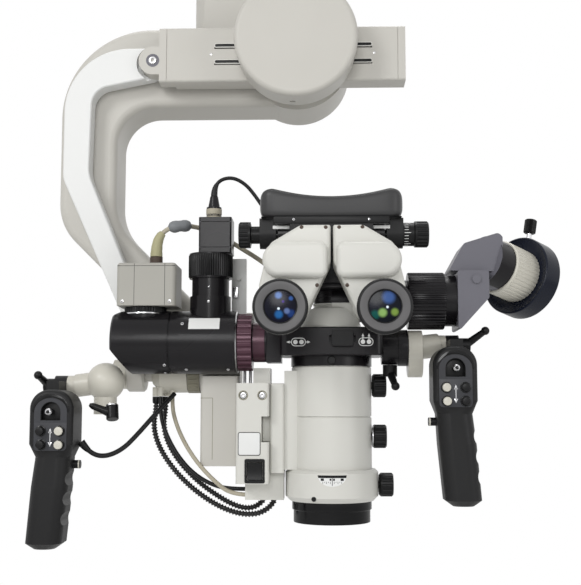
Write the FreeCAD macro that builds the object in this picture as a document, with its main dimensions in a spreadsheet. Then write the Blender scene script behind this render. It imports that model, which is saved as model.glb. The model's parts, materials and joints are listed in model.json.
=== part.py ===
import FreeCAD, Part
import math
import os
import Sketcher

# Surgical microscope head on its C-arm, hanging from a stand flange.
# X runs to the right of the microscope as its user sees it, Y away from the user, Z up.
# The origin is on the swivel axis, at the face that bolts to the stand.

SIZES = {
    # stand flange and swivel
    "flange_radius": 62.0,
    "flange_thick": 12.0,
    "bolt_circle_radius": 50.0,
    "bolt_hole_radius": 4.5,
    "spindle_radius": 24.0,
    "spindle_length": 46.0,
    "swivel_gap": 0.3,
    "running_gap": 0.05,
    # column and C-arm
    "column_radius": 54.0,
    "column_length": 140.0,
    "arm_front": -36.0,
    "arm_thick": 68.0,
    "arm_top": -87.0,
    "arm_left": -205.0,
    "arm_width": 65.0,
    "arm_slope_width": 47.0,
    "arm_bar_height": 93.0,
    "arm_corner": 104.0,
    "arm_inner_corner": 43.0,
    "arm_elbow": 62.0,
    "arm_elbow_z": -317.0,
    "arm_neck_x": -78.0,
    "arm_neck_height": 47.0,
    "arm_edge": 9.0,
    "drum_boss_radius": 60.0,
    "carrier_boss_radius": 30.0,
    # balance rail and brake drum
    "pivot_x": 67.0,
    "pivot_z": -125.0,
    "pivot_shaft_radius": 14.0,
    "shaft_reach": 36.0,
    "shaft_end_gap": 3.0,
    "stack_gap": 3.0,
    "rail_thick": 31.0,
    "rail_left": -87.0,
    "rail_right": 188.0,
    "rail_height": 62.5,
    "rail_above": 25.5,
    "rail_edge": 3.0,
    "rail_cap": 8.5,
    "slot_length": 176.0,
    "slot_left": -25.0,
    "slot_height": 6.0,
    "slot_depth": 12.0,
    "slot_upper_z": -121.5,
    "slot_lower_z": -140.0,
    "ear_radius": 16.0,
    "ear_reach": 161.0,
    "ear_drop": 12.0,
    "ear_pin_radius": 5.0,
    "drum_radius": 67.0,
    "drum_depth": 46.0,
    "cover_thick": 14.0,
    "cover_round": 6.0,
    # parallel link
    "lap_thick": 11.0,
    "lap_gap": 0.3,
    "link_thick": 21.0,
    "link_width": 31.0,
    "link_left": -195.0,
    "link_top": -119.5,
    "link_bend_z": -268.0,
    "link_top_corner": 72.0,
    "link_inner_corner": 22.0,
    "link_bar_height": 33.0,
    "link_eye_radius": 14.5,
    # carrier and tilt housing
    "carrier_shift": -10.0,
    "carrier_rise": 53.0,
    "carrier_pin_radius": 11.0,
    "crank_width": 28.0,
    "crank_hub_radius": 25.0,
    "post_left": -5.0,
    "post_width": 16.0,
    "post_top": -360.0,
    "post_pin_radius": 2.6,
    "tilt_y": -59.0,
    "tilt_z": -487.0,
    "tilt_radius": 20.0,
    "tilt_left": -90.0,
    "tilt_length": 38.5,
    "tilt_bevel": 9.0,
    "tilt_shaft_radius": 8.0,
    "lock_ring_width": 13.0,
    "lock_ring_teeth": 24,
    "side_gap": 0.5,
    # tilt column and slide
    "column_box_left": -34.0,
    "column_box_right": 6.0,
    "column_box_front": -98.0,
    "column_box_back": -42.0,
    "column_box_drop": 3.0,
    "column_box_bottom": -584.0,
    "block_right": 40.0,
    "block_front": -130.0,
    "block_back": -60.0,
    "block_top": -498.0,
    "block_bottom": -600.0,
    "block_cap_height": 16.0,
    "cable_box_right": 54.0,
    "cable_box_front": -104.0,
    "cable_box_back": -60.0,
    "cable_box_height": 18.0,
    "rocker_width": 15.0,
    "rocker_height": 17.0,
    "rocker_z": -587.0,
    "rocker_x": 25.5,
    "rocker_depth": 7.0,
    "screw_radius": 4.0,
    "guide_height": 26.0,
    "guide_depth": 8.0,
    "guide_rise": 4.0,
    "guide_gap": 0.3,
    "carriage_right": 55.0,
    "carriage_front": -118.0,
    "carriage_back": -58.0,
    "carriage_bottom": -590.0,
    # microscope body
    "scope_x": 104.0,
    "scope_y": -90.0,
    "body_radius": 42.0,
    "body_top": -480.0,
    "groove_z": -532.6,
    "groove_width": 1.6,
    "groove_depth": 1.2,
    "body_bottom": -586.5,
    "body_chamfer": 1.5,
    "plate_front": -112.0,
    "plate_back": -68.0,
    "focus_radius": 48.5,
    "focus_bottom": -619.0,
    "focus_edge": 3.0,
    "window_width": 30.0,
    "window_height": 11.5,
    "window_z": -601.0,
    "window_depth": 2.5,
    "ring_radius": 41.5,
    "ring_lower_radius": 40.0,
    "ring_step_z": -628.0,
    "ring_bottom": -641.0,
    "ring_bore_radius": 33.0,
    "lens_radius": 32.9,
    "lens_edge": 5.0,
    "lens_crown": 3.0,
    "knob_length": 15.0,
    "knob_radius": 12.3,
    "knob_stem_radius": 4.0,
    "knob_stem_length": 10.0,
    "zoom_knob_z": -500.0,
    "aperture_knob_z": -553.0,
    "focus_knob_z": -603.0,
    # beam splitter
    "splitter_left": 51.0,
    "splitter_width": 106.0,
    "splitter_front": -138.0,
    "splitter_back": -66.0,
    "splitter_top": -441.0,
    "splitter_bottom": -470.0,
    "lever_width": 22.0,
    "lever_height": 16.0,
    "lever_z": -453.0,
    "lever_travel": 8.0,
    "button_radius": 4.5,
    "button_z": -475.0,
    "port_block_left": 36.5,
    "port_block_height": 35.0,
    "side_port_radius": 17.5,
    "side_port_length": 16.0,
    "side_ring_radius": 19.0,
    "side_ring_width": 10.0,
    "side_port_z": -461.0,
    # binocular tube
    "tube_y": -104.0,
    "base_radius": 31.0,
    "base_height": 20.0,
    "base_top_radius": 25.0,
    "throat_radius": 19.0,
    "throat_height": 20.0,
    "throat_ribs": 5,
    "hinge_y": -135.0,
    "hinge_z": -346.0,
    "barrel_radius": 13.0,
    "barrel_gap": 1.75,
    "hinge_pin_radius": 5.0,
    "yoke_width": 48.0,
    "saddle_width": 146.5,
    "saddle_top": -300.0,
    "saddle_dip": 9.0,
    "saddle_edge": 3.0,
    "saddle_front": -160.0,
    "saddle_back": -108.0,
    "cheek_width": 17.0,
    "cheek_radius": 14.5,
    "face_plate_thick": 6.0,
    "face_plate_bottom": -398.0,
    "pd_knob_radius": 13.5,
    "pd_knob_width": 13.0,
    "pd_neck_radius": 9.0,
    "pd_neck_length": 8.5,
    "scale_drum_width": 11.0,
    "prism_x": 18.6,
    "prism_z": -382.0,
    "prism_front": -205.0,
    "prism_inner_gap": 1.2,
    "prism_top": -347.0,
    "prism_pin_radius": 6.0,
    "bulge_height": 34.5,
    "bulge_reach": 65.5,
    "bulge_depth": 10.0,
    "bulge_corner": 8.0,
    "eye_spread": 48.5,
    "eye_z": -429.5,
    "eye_front": -240.0,
    "eyecup_radius": 26.0,
    "eyecup_length": 20.0,
    "eye_tube_radius": 18.0,
    "eye_tube_length": 38.0,
    "eye_lens_radius": 15.2,
    # camera side on the left
    "clamp_ring_radius": 30.0,
    "clamp_ring_left": 6.5,
    "clamp_ring_width": 15.0,
    "clamp_neck_radius": 17.0,
    "sleeve_radius": 20.6,
    "port_z": -455.0,
    "video_radius": 33.0,
    "video_left": -124.0,
    "video_mitre": 19.0,
    "video_bevel": 7.0,
    "video_groove_x": -63.4,
    "port_tube_x": -23.4,
    "port_base_radius": 21.5,
    "port_base_top": -407.0,
    "port_tube_radius": 19.5,
    "port_knurl_radius": 22.5,
    "port_knurl_bottom": -388.0,
    "port_knurl_top": -361.5,
    "cube_side": 34.5,
    "cube_height": 37.5,
    "cube_sleeve_radius": 8.0,
    "cube_sleeve_height": 13.0,
    "cube_boot_height": 12.0,
    "camera_left": -119.0,
    "camera_width": 62.0,
    "camera_height": 45.0,
    "camera_depth": 50.0,
    "camera_foot": -418.0,
    "camera_adapter_radius": 21.0,
    "camera_adapter_x": -92.0,
    "collar_radius": 6.5,
    "collar_height": 9.0,
    "collar_x": -81.5,
    # assistant side on the right
    "assist_z": -412.0,
    "assist_pipe_radius": 22.0,
    "coupling_left": 183.0,
    "coupling_width": 40.0,
    "coupling_radius": 30.0,
    "coupling_flutes": 24,
    "flute_depth": 1.6,
    "flute_width": 2.6,
    "coupling_neck_width": 10.0,
    "coupling_neck_radius": 26.5,
    "angle_block_width": 32.0,
    "angle_block_top": -383.0,
    "angle_block_depth": 56.0,
    "hood_depth": 40.0,
    "hood_length": 48.0,
    "hood_height": 40.5,
    "assist_turn": 50.0,
    "assist_dip": 13.0,
    "assist_ring_x": 279.3,
    "assist_ring_y": -95.0,
    "assist_ring_z": -374.4,
    "assist_ring_radius": 28.7,
    "assist_ring_width": 36.0,
    "assist_ring_teeth": 40,
    "assist_neck_radius": 21.5,
    "assist_seat_length": 22.0,
    "dish_radius": 43.0,
    "dish_depth": 25.0,
    "dish_overlap": 6.5,
    "dish_recess_radius": 30.0,
    "dish_recess_depth": 10.0,
    "lock_knob_radius": 6.0,
    "lock_knob_height": 16.0,
    "lock_rod_radius": 2.5,
    "lock_rod_height": 9.0,
    # handles
    "connector_left": -118.0,
    "connector_width": 20.0,
    "connector_radius": 19.0,
    "elbow_x": -134.0,
    "elbow_y": -100.0,
    "elbow_z": -496.0,
    "elbow_radius": 20.0,
    "arm_rod_radius": 12.0,
    "grip_width": 38.0,
    "grip_depth": 44.0,
    "grip_pod_width": 44.0,
    "grip_pod_depth": 46.0,
    "left_grip_x": -176.0,
    "left_grip_y": -138.0,
    "left_grip_top": -505.0,
    "right_grip_x": 226.0,
    "right_grip_y": -138.0,
    "right_grip_top": -462.0,
    "grip_length": 158.0,
    "pod_height": 62.0,
    "pod_arch": 19.0,
    "pod_edge": 5.0,
    "grip_lean": 5.0,
    "notch_depth": 3.0,
    "notch_radius": 10.0,
    "thumb_button_radius": 4.3,
    "thumb_button_height": 3.0,
    "joystick_radius": 3.0,
    "joystick_height": 11.0,
    "pod_recess": 6.0,
    "pod_recess_radius": 9.5,
    "side_button_radius": 4.2,
    "side_button_height": 6.0,
    "clamp_arm_length": 26.0,
    "clamp_hub_radius": 7.5,
    "clamp_hub_height": 12.0,
    "right_elbow_x": 183.3,
    "right_elbow_width": 15.0,
    "right_elbow_radius": 18.2,
    "right_elbow_drop": 12.5,
    "right_arm_height": 25.0,
    # cords
    "gland_reach": 24.0,
    "conduit_radius": 3.3,
    "lead_radius": 2.2,
    "cable_radius": 2.5,
    "camera_cable_radius": 2.0,
}

DOC = FreeCAD.newDocument("surgical_microscope")
SHEET = DOC.addObject("Spreadsheet::Sheet", "Sizes")


def value_of(size):
    """The plain number behind a size or a number."""
    return size.value if isinstance(size, Size) else float(size)


def formula_of(size):
    """The text that an expression uses for a size or a number."""
    return size.formula if isinstance(size, Size) else repr(float(size))


class Size:
    """A number that remembers the sheet formula it comes from."""

    def __init__(self, value, formula):
        self.value = value
        self.formula = formula

    def __add__(self, other):
        return Size(self.value + value_of(other), "(%s + %s)" % (self.formula, formula_of(other)))

    def __radd__(self, other):
        return Size(value_of(other) + self.value, "(%s + %s)" % (formula_of(other), self.formula))

    def __sub__(self, other):
        return Size(self.value - value_of(other), "(%s - %s)" % (self.formula, formula_of(other)))

    def __rsub__(self, other):
        return Size(value_of(other) - self.value, "(%s - %s)" % (formula_of(other), self.formula))

    def __mul__(self, other):
        return Size(self.value * value_of(other), "(%s * %s)" % (self.formula, formula_of(other)))

    __rmul__ = __mul__

    def __truediv__(self, other):
        return Size(self.value / value_of(other), "(%s / %s)" % (self.formula, formula_of(other)))

    def __neg__(self):
        return Size(-self.value, "(0 - %s)" % self.formula)


class SizeSheet:
    """Gives each driving dimension of the sheet by its alias."""

    def __init__(self, sheet, sizes):
        for row, (alias, number) in enumerate(sizes.items(), start=1):
            sheet.set("A%d" % row, alias)
            sheet.set("B%d" % row, str(number))
            sheet.setAlias("B%d" % row, alias)
        sheet.recompute()
        self.sheet = sheet

    def __getattr__(self, alias):
        return Size(float(self.sheet.get(alias)), "Sizes." + alias)


s = SizeSheet(SHEET, SIZES)
LABELS = []


def vector(x, y, z):
    return FreeCAD.Vector(value_of(x), value_of(y), value_of(z))


class Piece:
    """One sub-part as a PartDesign body whose sketches and features follow the sheet."""

    def __init__(self, label, at=(0, 0, 0), axis=(0, 0, 1), turn=0.0):
        self.body = DOC.addObject("PartDesign::Body", label)
        self.body.Label = label
        rotation = FreeCAD.Rotation(FreeCAD.Vector(*axis), value_of(turn))
        self.body.Placement = FreeCAD.Placement(vector(*at), rotation)
        for name, size in zip("xyz", at):
            if isinstance(size, Size):
                self.body.setExpression(".Placement.Base." + name, size.formula)
        self.feature = None
        LABELS.append(label)

    def sketch(self, plane, offset):
        """An empty sketch on one of the body's own origin planes, moved by offset in its own axes."""
        sketch = self.body.newObject("Sketcher::SketchObject", "Sketch")
        role = plane + "_Plane"
        support = [item for item in self.body.Origin.OriginFeatures if item.Role == role][0]
        sketch.AttachmentSupport = [(support, "")]
        sketch.MapMode = "FlatFace"
        sketch.AttachmentOffset = FreeCAD.Placement(vector(*offset), FreeCAD.Rotation())
        for name, size in zip("xyz", offset):
            if isinstance(size, Size):
                sketch.setExpression(".AttachmentOffset.Base." + name, size.formula)
        return sketch

    def polygon(self, sketch, outline):
        """Straight lines round the outline, each corner held by two driven distances."""
        corners = [FreeCAD.Vector(value_of(u), value_of(v), 0) for u, v in outline]
        count = len(corners)
        for index in range(count):
            line = Part.LineSegment(corners[index], corners[(index + 1) % count])
            sketch.addGeometry(line, False)
        for index in range(count):
            meet = Sketcher.Constraint("Coincident", index, 2, (index + 1) % count, 1)
            sketch.addConstraint(meet)
        for index, pair in enumerate(outline):
            self.hold(sketch, index, 1, pair)

    def hold(self, sketch, geometry, point, pair):
        """Ties one point of a sketch to its two distances from the sketch's own origin."""
        for kind, size in zip(("DistanceX", "DistanceY"), pair):
            rule = Sketcher.Constraint(kind, -1, 1, geometry, point, value_of(size))
            number = sketch.addConstraint(rule)
            if isinstance(size, Size):
                sketch.setExpression("Constraints[%d]" % number, size.formula)

    def circle(self, sketch, centre, radius):
        where = FreeCAD.Vector(value_of(centre[0]), value_of(centre[1]), 0)
        normal = FreeCAD.Vector(0, 0, 1)
        number = sketch.addGeometry(Part.Circle(where, normal, value_of(radius)), False)
        self.hold(sketch, number, 3, centre)
        rule = sketch.addConstraint(Sketcher.Constraint("Radius", number, value_of(radius)))
        if isinstance(radius, Size):
            sketch.setExpression("Constraints[%d]" % rule, radius.formula)

    def extrude(self, sketch, length, cut):
        kind = "PartDesign::Pocket" if cut else "PartDesign::Pad"
        feature = self.body.newObject(kind, "Pocket" if cut else "Pad")
        feature.Profile = sketch
        feature.Length = value_of(length)
        if isinstance(length, Size):
            feature.setExpression("Length", length.formula)
        feature.Reversed = cut
        self.feature = feature
        return feature

    def span(self, plane, low, high):
        """Where the sketch stands and how far it reaches, for a span along the plane's normal."""
        return (-high if plane == "XZ" else low), high - low

    def prism(self, plane, outline, low, high, cut=False, at=(0, 0)):
        """A straight piece with the given outline, between two heights along the plane's normal."""
        start, length = self.span(plane, low, high)
        sketch = self.sketch(plane, (at[0], at[1], start))
        self.polygon(sketch, outline)
        return self.extrude(sketch, length, cut)

    def disc(self, plane, centre, radius, low, high, cut=False):
        """A round piece or hole between two heights along the plane's normal."""
        start, length = self.span(plane, low, high)
        sketch = self.sketch(plane, (0, 0, start))
        self.circle(sketch, centre, radius)
        return self.extrude(sketch, length, cut)

    def block(self, low, high, cut=False):
        """A rectangular piece between two corners."""
        outline = [(low[0], low[1]), (high[0], low[1]), (high[0], high[1]), (low[0], high[1])]
        return self.prism("XY", outline, low[2], high[2], cut)

    def turned(self, axis, profile, at=(0, 0, 0), cut=False):
        """A turned piece: profile pairs are radius and place along the axis."""
        if axis == "Z":
            sketch = self.sketch("XZ", (at[0], at[2], -1.0 * at[1]))
            outline = profile
        elif axis == "X":
            sketch = self.sketch("XZ", (at[0], at[2], -1.0 * at[1]))
            outline = [(along, radius) for radius, along in profile]
        else:
            sketch = self.sketch("YZ", (at[1], at[2], at[0]))
            outline = [(along, radius) for radius, along in profile]
        self.polygon(sketch, outline)
        kind = "PartDesign::Groove" if cut else "PartDesign::Revolution"
        feature = self.body.newObject(kind, "Groove" if cut else "Revolution")
        feature.Profile = sketch
        feature.ReferenceAxis = (sketch, ["V_Axis" if axis == "Z" else "H_Axis"])
        feature.Angle = 360.0
        self.feature = feature
        return feature

    def repeat(self, feature, axis, count):
        """Copies a feature evenly round one of the body's own axes."""
        pattern = self.body.newObject("PartDesign::PolarPattern", "PolarPattern")
        pattern.Originals = [feature]
        role = axis + "_Axis"
        line = [item for item in self.body.Origin.OriginFeatures if item.Role == role][0]
        pattern.Axis = (line, [""])
        pattern.Angle = 360.0
        pattern.Occurrences = int(value_of(count))
        if isinstance(count, Size):
            pattern.setExpression("Occurrences", count.formula)
        self.body.Tip = pattern
        self.feature = pattern
        return pattern

    def soften(self, radius, choose, flat=False):
        """Rounds, or bevels, the edges that choose picks from the piece so far."""
        DOC.recompute()
        base = self.body.Tip
        names = []
        for number, edge in enumerate(base.Shape.Edges, start=1):
            if choose(edge):
                names.append("Edge%d" % number)
        if not names:
            raise RuntimeError("no edges to soften on " + self.body.Label)
        kind = "PartDesign::Chamfer" if flat else "PartDesign::Fillet"
        feature = self.body.newObject(kind, "Chamfer" if flat else "Fillet")
        feature.Base = (base, names)
        name = "Size" if flat else "Radius"
        setattr(feature, name, value_of(radius))
        if isinstance(radius, Size):
            feature.setExpression(name, radius.formula)
        self.feature = feature
        return feature


def along(direction, test=None):
    """Picks straight edges that run along X, Y or Z and pass the test on their middle."""
    unit = {"X": FreeCAD.Vector(1, 0, 0), "Y": FreeCAD.Vector(0, 1, 0), "Z": FreeCAD.Vector(0, 0, 1)}

    def choose(edge):
        if not isinstance(edge.Curve, (Part.Line, Part.LineSegment)) or len(edge.Vertexes) < 2:
            return False
        run = edge.Vertexes[1].Point - edge.Vertexes[0].Point
        if run.Length < 1e-6 or abs(run.normalize().dot(unit[direction])) < 0.999:
            return False
        return test is None or test(edge.CenterOfMass)

    return choose


def round_at(axis, place, radius=None):
    """Picks circular edges that stand across an axis at one place, of one radius if it is given."""
    index = "XYZ".index(axis)

    def choose(edge):
        if not isinstance(edge.Curve, Part.Circle):
            return False
        if abs(edge.Curve.Axis[index]) < 0.999:
            return False
        if radius is not None and abs(edge.Curve.Radius - value_of(radius)) > 0.01:
            return False
        return abs(edge.Curve.Center[index] - value_of(place)) < 0.01

    return choose


def keep_shape(label, shape):
    """A sub-part whose solid comes straight from the sheet's values."""
    item = DOC.addObject("Part::Feature", label)
    item.Label = label
    item.Shape = shape
    LABELS.append(label)
    return item


def rounded_wire(points, radii, closed):
    """Straight runs joined by tangent arcs, one radius for each inner corner."""
    count = len(points)
    edges = []
    last = None
    first = None
    for index in range(count):
        point = points[index]
        if radii[index] <= 0 or (not closed and index in (0, count - 1)):
            enter = leave = point
        else:
            before = (points[index - 1] - point).normalize()
            after = (points[(index + 1) % count] - point).normalize()
            half = before.getAngle(after) / 2
            reach = radii[index] / math.tan(half)
            enter = point + before * reach
            leave = point + after * reach
            middle = (before + after).normalize() * (radii[index] / math.sin(half) - radii[index])
        if last is not None and (enter - last).Length > 1e-6:
            edges.append(Part.LineSegment(last, enter).toShape())
        if (leave - enter).Length > 1e-6:
            edges.append(Part.Arc(enter, point + middle, leave).toShape())
        if first is None:
            first = enter
        last = leave
    if closed and (first - last).Length > 1e-6:
        edges.append(Part.LineSegment(last, first).toShape())
    return Part.Wire(edges)


def plate(outline, front, back):
    """A flat plate across Y with rounded corners: outline holds x, z and the corner's radius."""
    points = [vector(x, front, z) for x, z, radius in outline]
    radii = [value_of(radius) for x, z, radius in outline]
    face = Part.Face(rounded_wire(points, radii, True))
    return face.extrude(FreeCAD.Vector(0, value_of(back) - value_of(front), 0))


def rod(start, end, radius):
    """A round bar from one point to another."""
    run = end - start
    return Part.makeCylinder(value_of(radius), run.Length, start, run)


def box_between(low, high):
    """A box between two corners given as plain vectors."""
    run = high - low
    return Part.makeBox(run.x, run.y, run.z, low)


def edges_of(shape, choose):
    return [edge for edge in shape.Edges if choose(edge)]


# Places that several pieces share.
PIVOT = vector(s.pivot_x, 0, s.pivot_z)
EAR_X = s.pivot_x - s.ear_reach
EAR_Z = s.pivot_z - s.ear_drop
CARRIER_X = s.pivot_x + s.carrier_shift
CARRIER_Z = s.tilt_z + s.carrier_rise
LINK_FOOT_X = CARRIER_X - s.ear_reach
LINK_FOOT_Z = CARRIER_Z - s.ear_drop
STACK_BACK = s.arm_front - s.stack_gap
RAIL_FRONT = STACK_BACK - s.rail_thick
LINK_FRONT = STACK_BACK - s.link_thick
EAR_BACK = STACK_BACK - s.lap_thick - s.lap_gap
LAP_FRONT = STACK_BACK - s.lap_thick
DRUM_BACK = RAIL_FRONT
DRUM_FRONT = DRUM_BACK - s.drum_depth
GUIDE_Z = (s.block_top + s.block_bottom) / 2 + s.guide_rise

CONDUIT_OUTER = [
    (-86, -62, -511.3), (-86, -62, -525), (-88.5, -65, -541), (-84, -67, -560), (-73, -69, -579),
    (-57, -70, -598), (-37, -70.5, -615), (-14, -70.5, -629), (9, -70, -636.5), (31, -69, -634.9),
    (46.5, -69, -619.3), (46.5, -69, -597.3),
]
CONDUIT_INNER = [
    (-77, -53, -511.3), (-77, -53, -524), (-79, -56, -540), (-75, -58, -558), (-64, -59.5, -577),
    (-48, -60.5, -595), (-29, -61, -611), (1, -61, -629), (21.5, -61, -631), (36, -61, -616.4),
    (36, -61, -597.3),
]
LEAD_BLACK = [
    (-80, -71, -511.3), (-80, -72, -525), (-76.5, -78, -541), (-68, -83, -559), (-57, -86, -576),
    (-43, -88, -591), (-26, -88.5, -602), (-7, -88, -608), (13.7, -88, -608),
]
LEAD_BEIGE = [
    (-68, -65, -511.3), (-68, -66, -524), (-63, -73, -539), (-56, -82, -553), (-46, -93, -568),
    (-33, -101.5, -584), (-17, -102, -600), (-2, -98.5, -612), (13.7, -98.5, -613),
]
HANDLE_CABLE = [
    (-152.5, -128, -558), (-144, -127, -569), (-129, -123, -573.5), (-112, -115, -566),
    (-98, -104, -550), (-84, -93, -532), (-71.7, -83, -517.4), (-64.2, -76.2, -508.2),
]
CAMERA_CABLE = [
    (-20.4, -104, -298.7), (-20.4, -104, -289), (-13, -103.5, -280), (0, -102, -278), (13, -100, -285),
    (23, -98, -297), (33, -97, -312), (44, -94, -329), (54, -89, -347), (61, -83, -367),
    (65, -79, -389), (66, -78, -416), (66, -78, -440.7),
]
BOX_CABLE = [
    (-81.5, -104, -363.7), (-81.5, -104, -351), (-77, -104, -339), (-66, -103, -331.5),
    (-52, -98, -329), (-40, -85, -329), (-27, -77, -331.5), (-10, -74, -340), (7, -75, -351),
    (23, -76, -361), (38, -77, -372), (48.5, -77, -387), (54, -77.5, -405), (55.5, -78, -424),
    (55.5, -78, -440.7),
]


def make_mount_flange():
    """Bolted flange with the spindle that the column swivels on."""
    piece = Piece("mount_flange")
    foot = -s.flange_thick
    tip = foot - s.spindle_length
    piece.turned("Z", [
        (0, tip), (s.spindle_radius - 2, tip), (s.spindle_radius, tip + 2), (s.spindle_radius, foot),
        (s.flange_radius, foot), (s.flange_radius, -1.5), (s.flange_radius - 1.5, 0), (0, 0),
    ])
    hole = piece.disc("XY", (s.bolt_circle_radius, 0), s.bolt_hole_radius, foot - 1, 1, cut=True)
    piece.repeat(hole, "Z", 6)


def arm_outline():
    """Question-mark outline of the C-arm seen from the front."""
    bar_bottom = s.arm_top - s.arm_bar_height
    inner_left = s.arm_left + s.arm_width
    outer_sum = s.arm_left + s.arm_elbow_z
    inner_sum = outer_sum + s.arm_slope_width * math.sqrt(2)
    neck_low = outer_sum - s.arm_neck_x
    carrier_low = CARRIER_Z - s.carrier_boss_radius
    neck_top = carrier_low + s.arm_neck_height
    return [
        (s.pivot_x, s.arm_top, 0),
        (s.arm_left, s.arm_top, s.arm_corner),
        (s.arm_left, s.arm_elbow_z, s.arm_elbow),
        (s.arm_neck_x, neck_low, s.arm_elbow),
        (CARRIER_X, carrier_low, 0),
        (CARRIER_X, neck_top, 0),
        (inner_sum - neck_top, neck_top, s.arm_inner_corner),
        (inner_left, inner_sum - inner_left, s.arm_elbow),
        (inner_left, bar_bottom, s.arm_inner_corner),
        (s.pivot_x, bar_bottom, 0),
    ]


def make_c_arm():
    """Column and question-mark arm: one hollow-looking casting with its seam and pivot bosses."""
    front = value_of(s.arm_front)
    back = front + value_of(s.arm_thick)
    body = plate(arm_outline(), s.arm_front, s.arm_front + s.arm_thick)
    edge_faces = edges_of(body, lambda edge: abs(edge.CenterOfMass.y - front) < 0.01
                          or abs(edge.CenterOfMass.y - back) < 0.01)
    body = body.makeFillet(value_of(s.arm_edge), [
        edge for edge in edge_faces
        if edge.CenterOfMass.x < value_of(s.pivot_x) - 1 and edge.CenterOfMass.x < value_of(CARRIER_X) - 1])
    across = FreeCAD.Vector(0, 1, 0)
    drum_boss = Part.makeCylinder(value_of(s.drum_boss_radius), back - front,
                                  FreeCAD.Vector(PIVOT.x, front, PIVOT.z), across)
    carrier_boss = Part.makeCylinder(value_of(s.carrier_boss_radius), back - front,
                                     vector(CARRIER_X, front, CARRIER_Z), across)
    column_top = -value_of(s.flange_thick + s.swivel_gap)
    column = Part.makeCylinder(value_of(s.column_radius), value_of(s.column_length),
                               FreeCAD.Vector(0, 0, column_top - value_of(s.column_length)))
    column = column.makeFillet(6.0, edges_of(column, lambda edge: edge.CenterOfMass.z > column_top - 1
                                             and isinstance(edge.Curve, Part.Circle)))
    reach = value_of(s.column_radius) * 2
    front_limit = box_between(FreeCAD.Vector(-reach, front, column_top - 2 * reach),
                              FreeCAD.Vector(reach, reach, 0))
    column = column.common(front_limit)
    body = body.fuse([drum_boss, carrier_boss, column]).removeSplitter()
    bore = Part.makeCylinder(value_of(s.spindle_radius + s.running_gap),
                             value_of(s.spindle_length) + 2,
                             FreeCAD.Vector(0, 0, column_top - value_of(s.spindle_length) - 2 + 0.01))
    hole_depth = value_of(s.shaft_reach + s.shaft_end_gap)
    shaft_hole = Part.makeCylinder(value_of(s.pivot_shaft_radius + s.running_gap), hole_depth + 1,
                                   FreeCAD.Vector(PIVOT.x, front - 1, PIVOT.z), across)
    pin_hole = Part.makeCylinder(value_of(s.carrier_pin_radius + s.running_gap), hole_depth + 1,
                                 vector(CARRIER_X, front - 1, CARRIER_Z), across)
    body = body.cut(Part.makeCompound([bore, shaft_hole, pin_hole]))
    keep_shape("c_arm", body)


def make_balance_rail():
    """Slotted balance beam with its ear plate, ear pin and pivot shaft."""
    piece = Piece("balance_rail", at=(s.pivot_x, 0, s.pivot_z))
    left = s.rail_left - s.pivot_x
    right = s.rail_right - s.pivot_x
    top = s.rail_above
    bottom = top - s.rail_height
    piece.prism("XZ", [(left, bottom), (right, bottom), (right, top), (left, top)], RAIL_FRONT, STACK_BACK)
    piece.soften(s.rail_edge, along("X"))
    ear_top = -s.ear_drop + s.ear_radius
    ear_low = -s.ear_drop - s.ear_radius
    piece.prism("XZ", [(-s.ear_reach, ear_low), (left + 2, ear_low), (left + 2, ear_top), (-s.ear_reach, ear_top)],
                RAIL_FRONT, EAR_BACK)
    piece.disc("XZ", (-s.ear_reach, -s.ear_drop), s.ear_radius, RAIL_FRONT, EAR_BACK)
    notch_right = -s.ear_reach + s.link_eye_radius + 9
    piece.block((left - 1, EAR_BACK, bottom - 1), (notch_right, STACK_BACK + 1, top + 1), cut=True)
    piece.disc("XZ", (-s.ear_reach, -s.ear_drop), s.ear_pin_radius, EAR_BACK - 1, STACK_BACK)
    slot_left = s.slot_left - s.pivot_x
    for middle in (s.slot_upper_z, s.slot_lower_z):
        low = middle - s.pivot_z - s.slot_height / 2
        piece.block((slot_left, RAIL_FRONT - 1, low),
                    (slot_left + s.slot_length, RAIL_FRONT + s.slot_depth, low + s.slot_height), cut=True)
    for side in (left + s.rail_cap, right - s.rail_cap):
        piece.block((side - 0.4, RAIL_FRONT - 1, bottom - 1), (side + 0.4, RAIL_FRONT + 0.8, top + 1), cut=True)
    piece.disc("XZ", (0, 0), s.pivot_shaft_radius, STACK_BACK - 2, s.arm_front + s.shaft_reach)


def make_drum():
    """Round brake housing on the rail and the disc that covers it."""
    housing = Piece("drum_housing", at=(s.pivot_x, 0, s.pivot_z))
    cover_back = DRUM_FRONT + s.cover_thick
    rim = s.drum_radius - 1.5
    housing.turned("Y", [
        (0, cover_back + 0.3), (rim - 3, cover_back + 0.3), (rim - 3, cover_back + 2), (rim, cover_back + 2),
        (rim, DRUM_BACK - 3), (rim - 3, DRUM_BACK), (0, DRUM_BACK),
    ])
    hole_y = (DRUM_BACK + cover_back) / 2
    housing.disc("XY", (-4, hole_y), 3.2, -s.drum_radius - 1, 8 - s.drum_radius, cut=True)
    cover = Piece("drum_cover", at=(s.pivot_x, 0, s.pivot_z))
    cover.turned("Y", [
        (0, DRUM_FRONT), (s.drum_radius, DRUM_FRONT), (s.drum_radius, cover_back),
        (0, cover_back),
    ])
    cover.soften(s.cover_round, round_at("Y", DRUM_FRONT, s.drum_radius))


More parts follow.
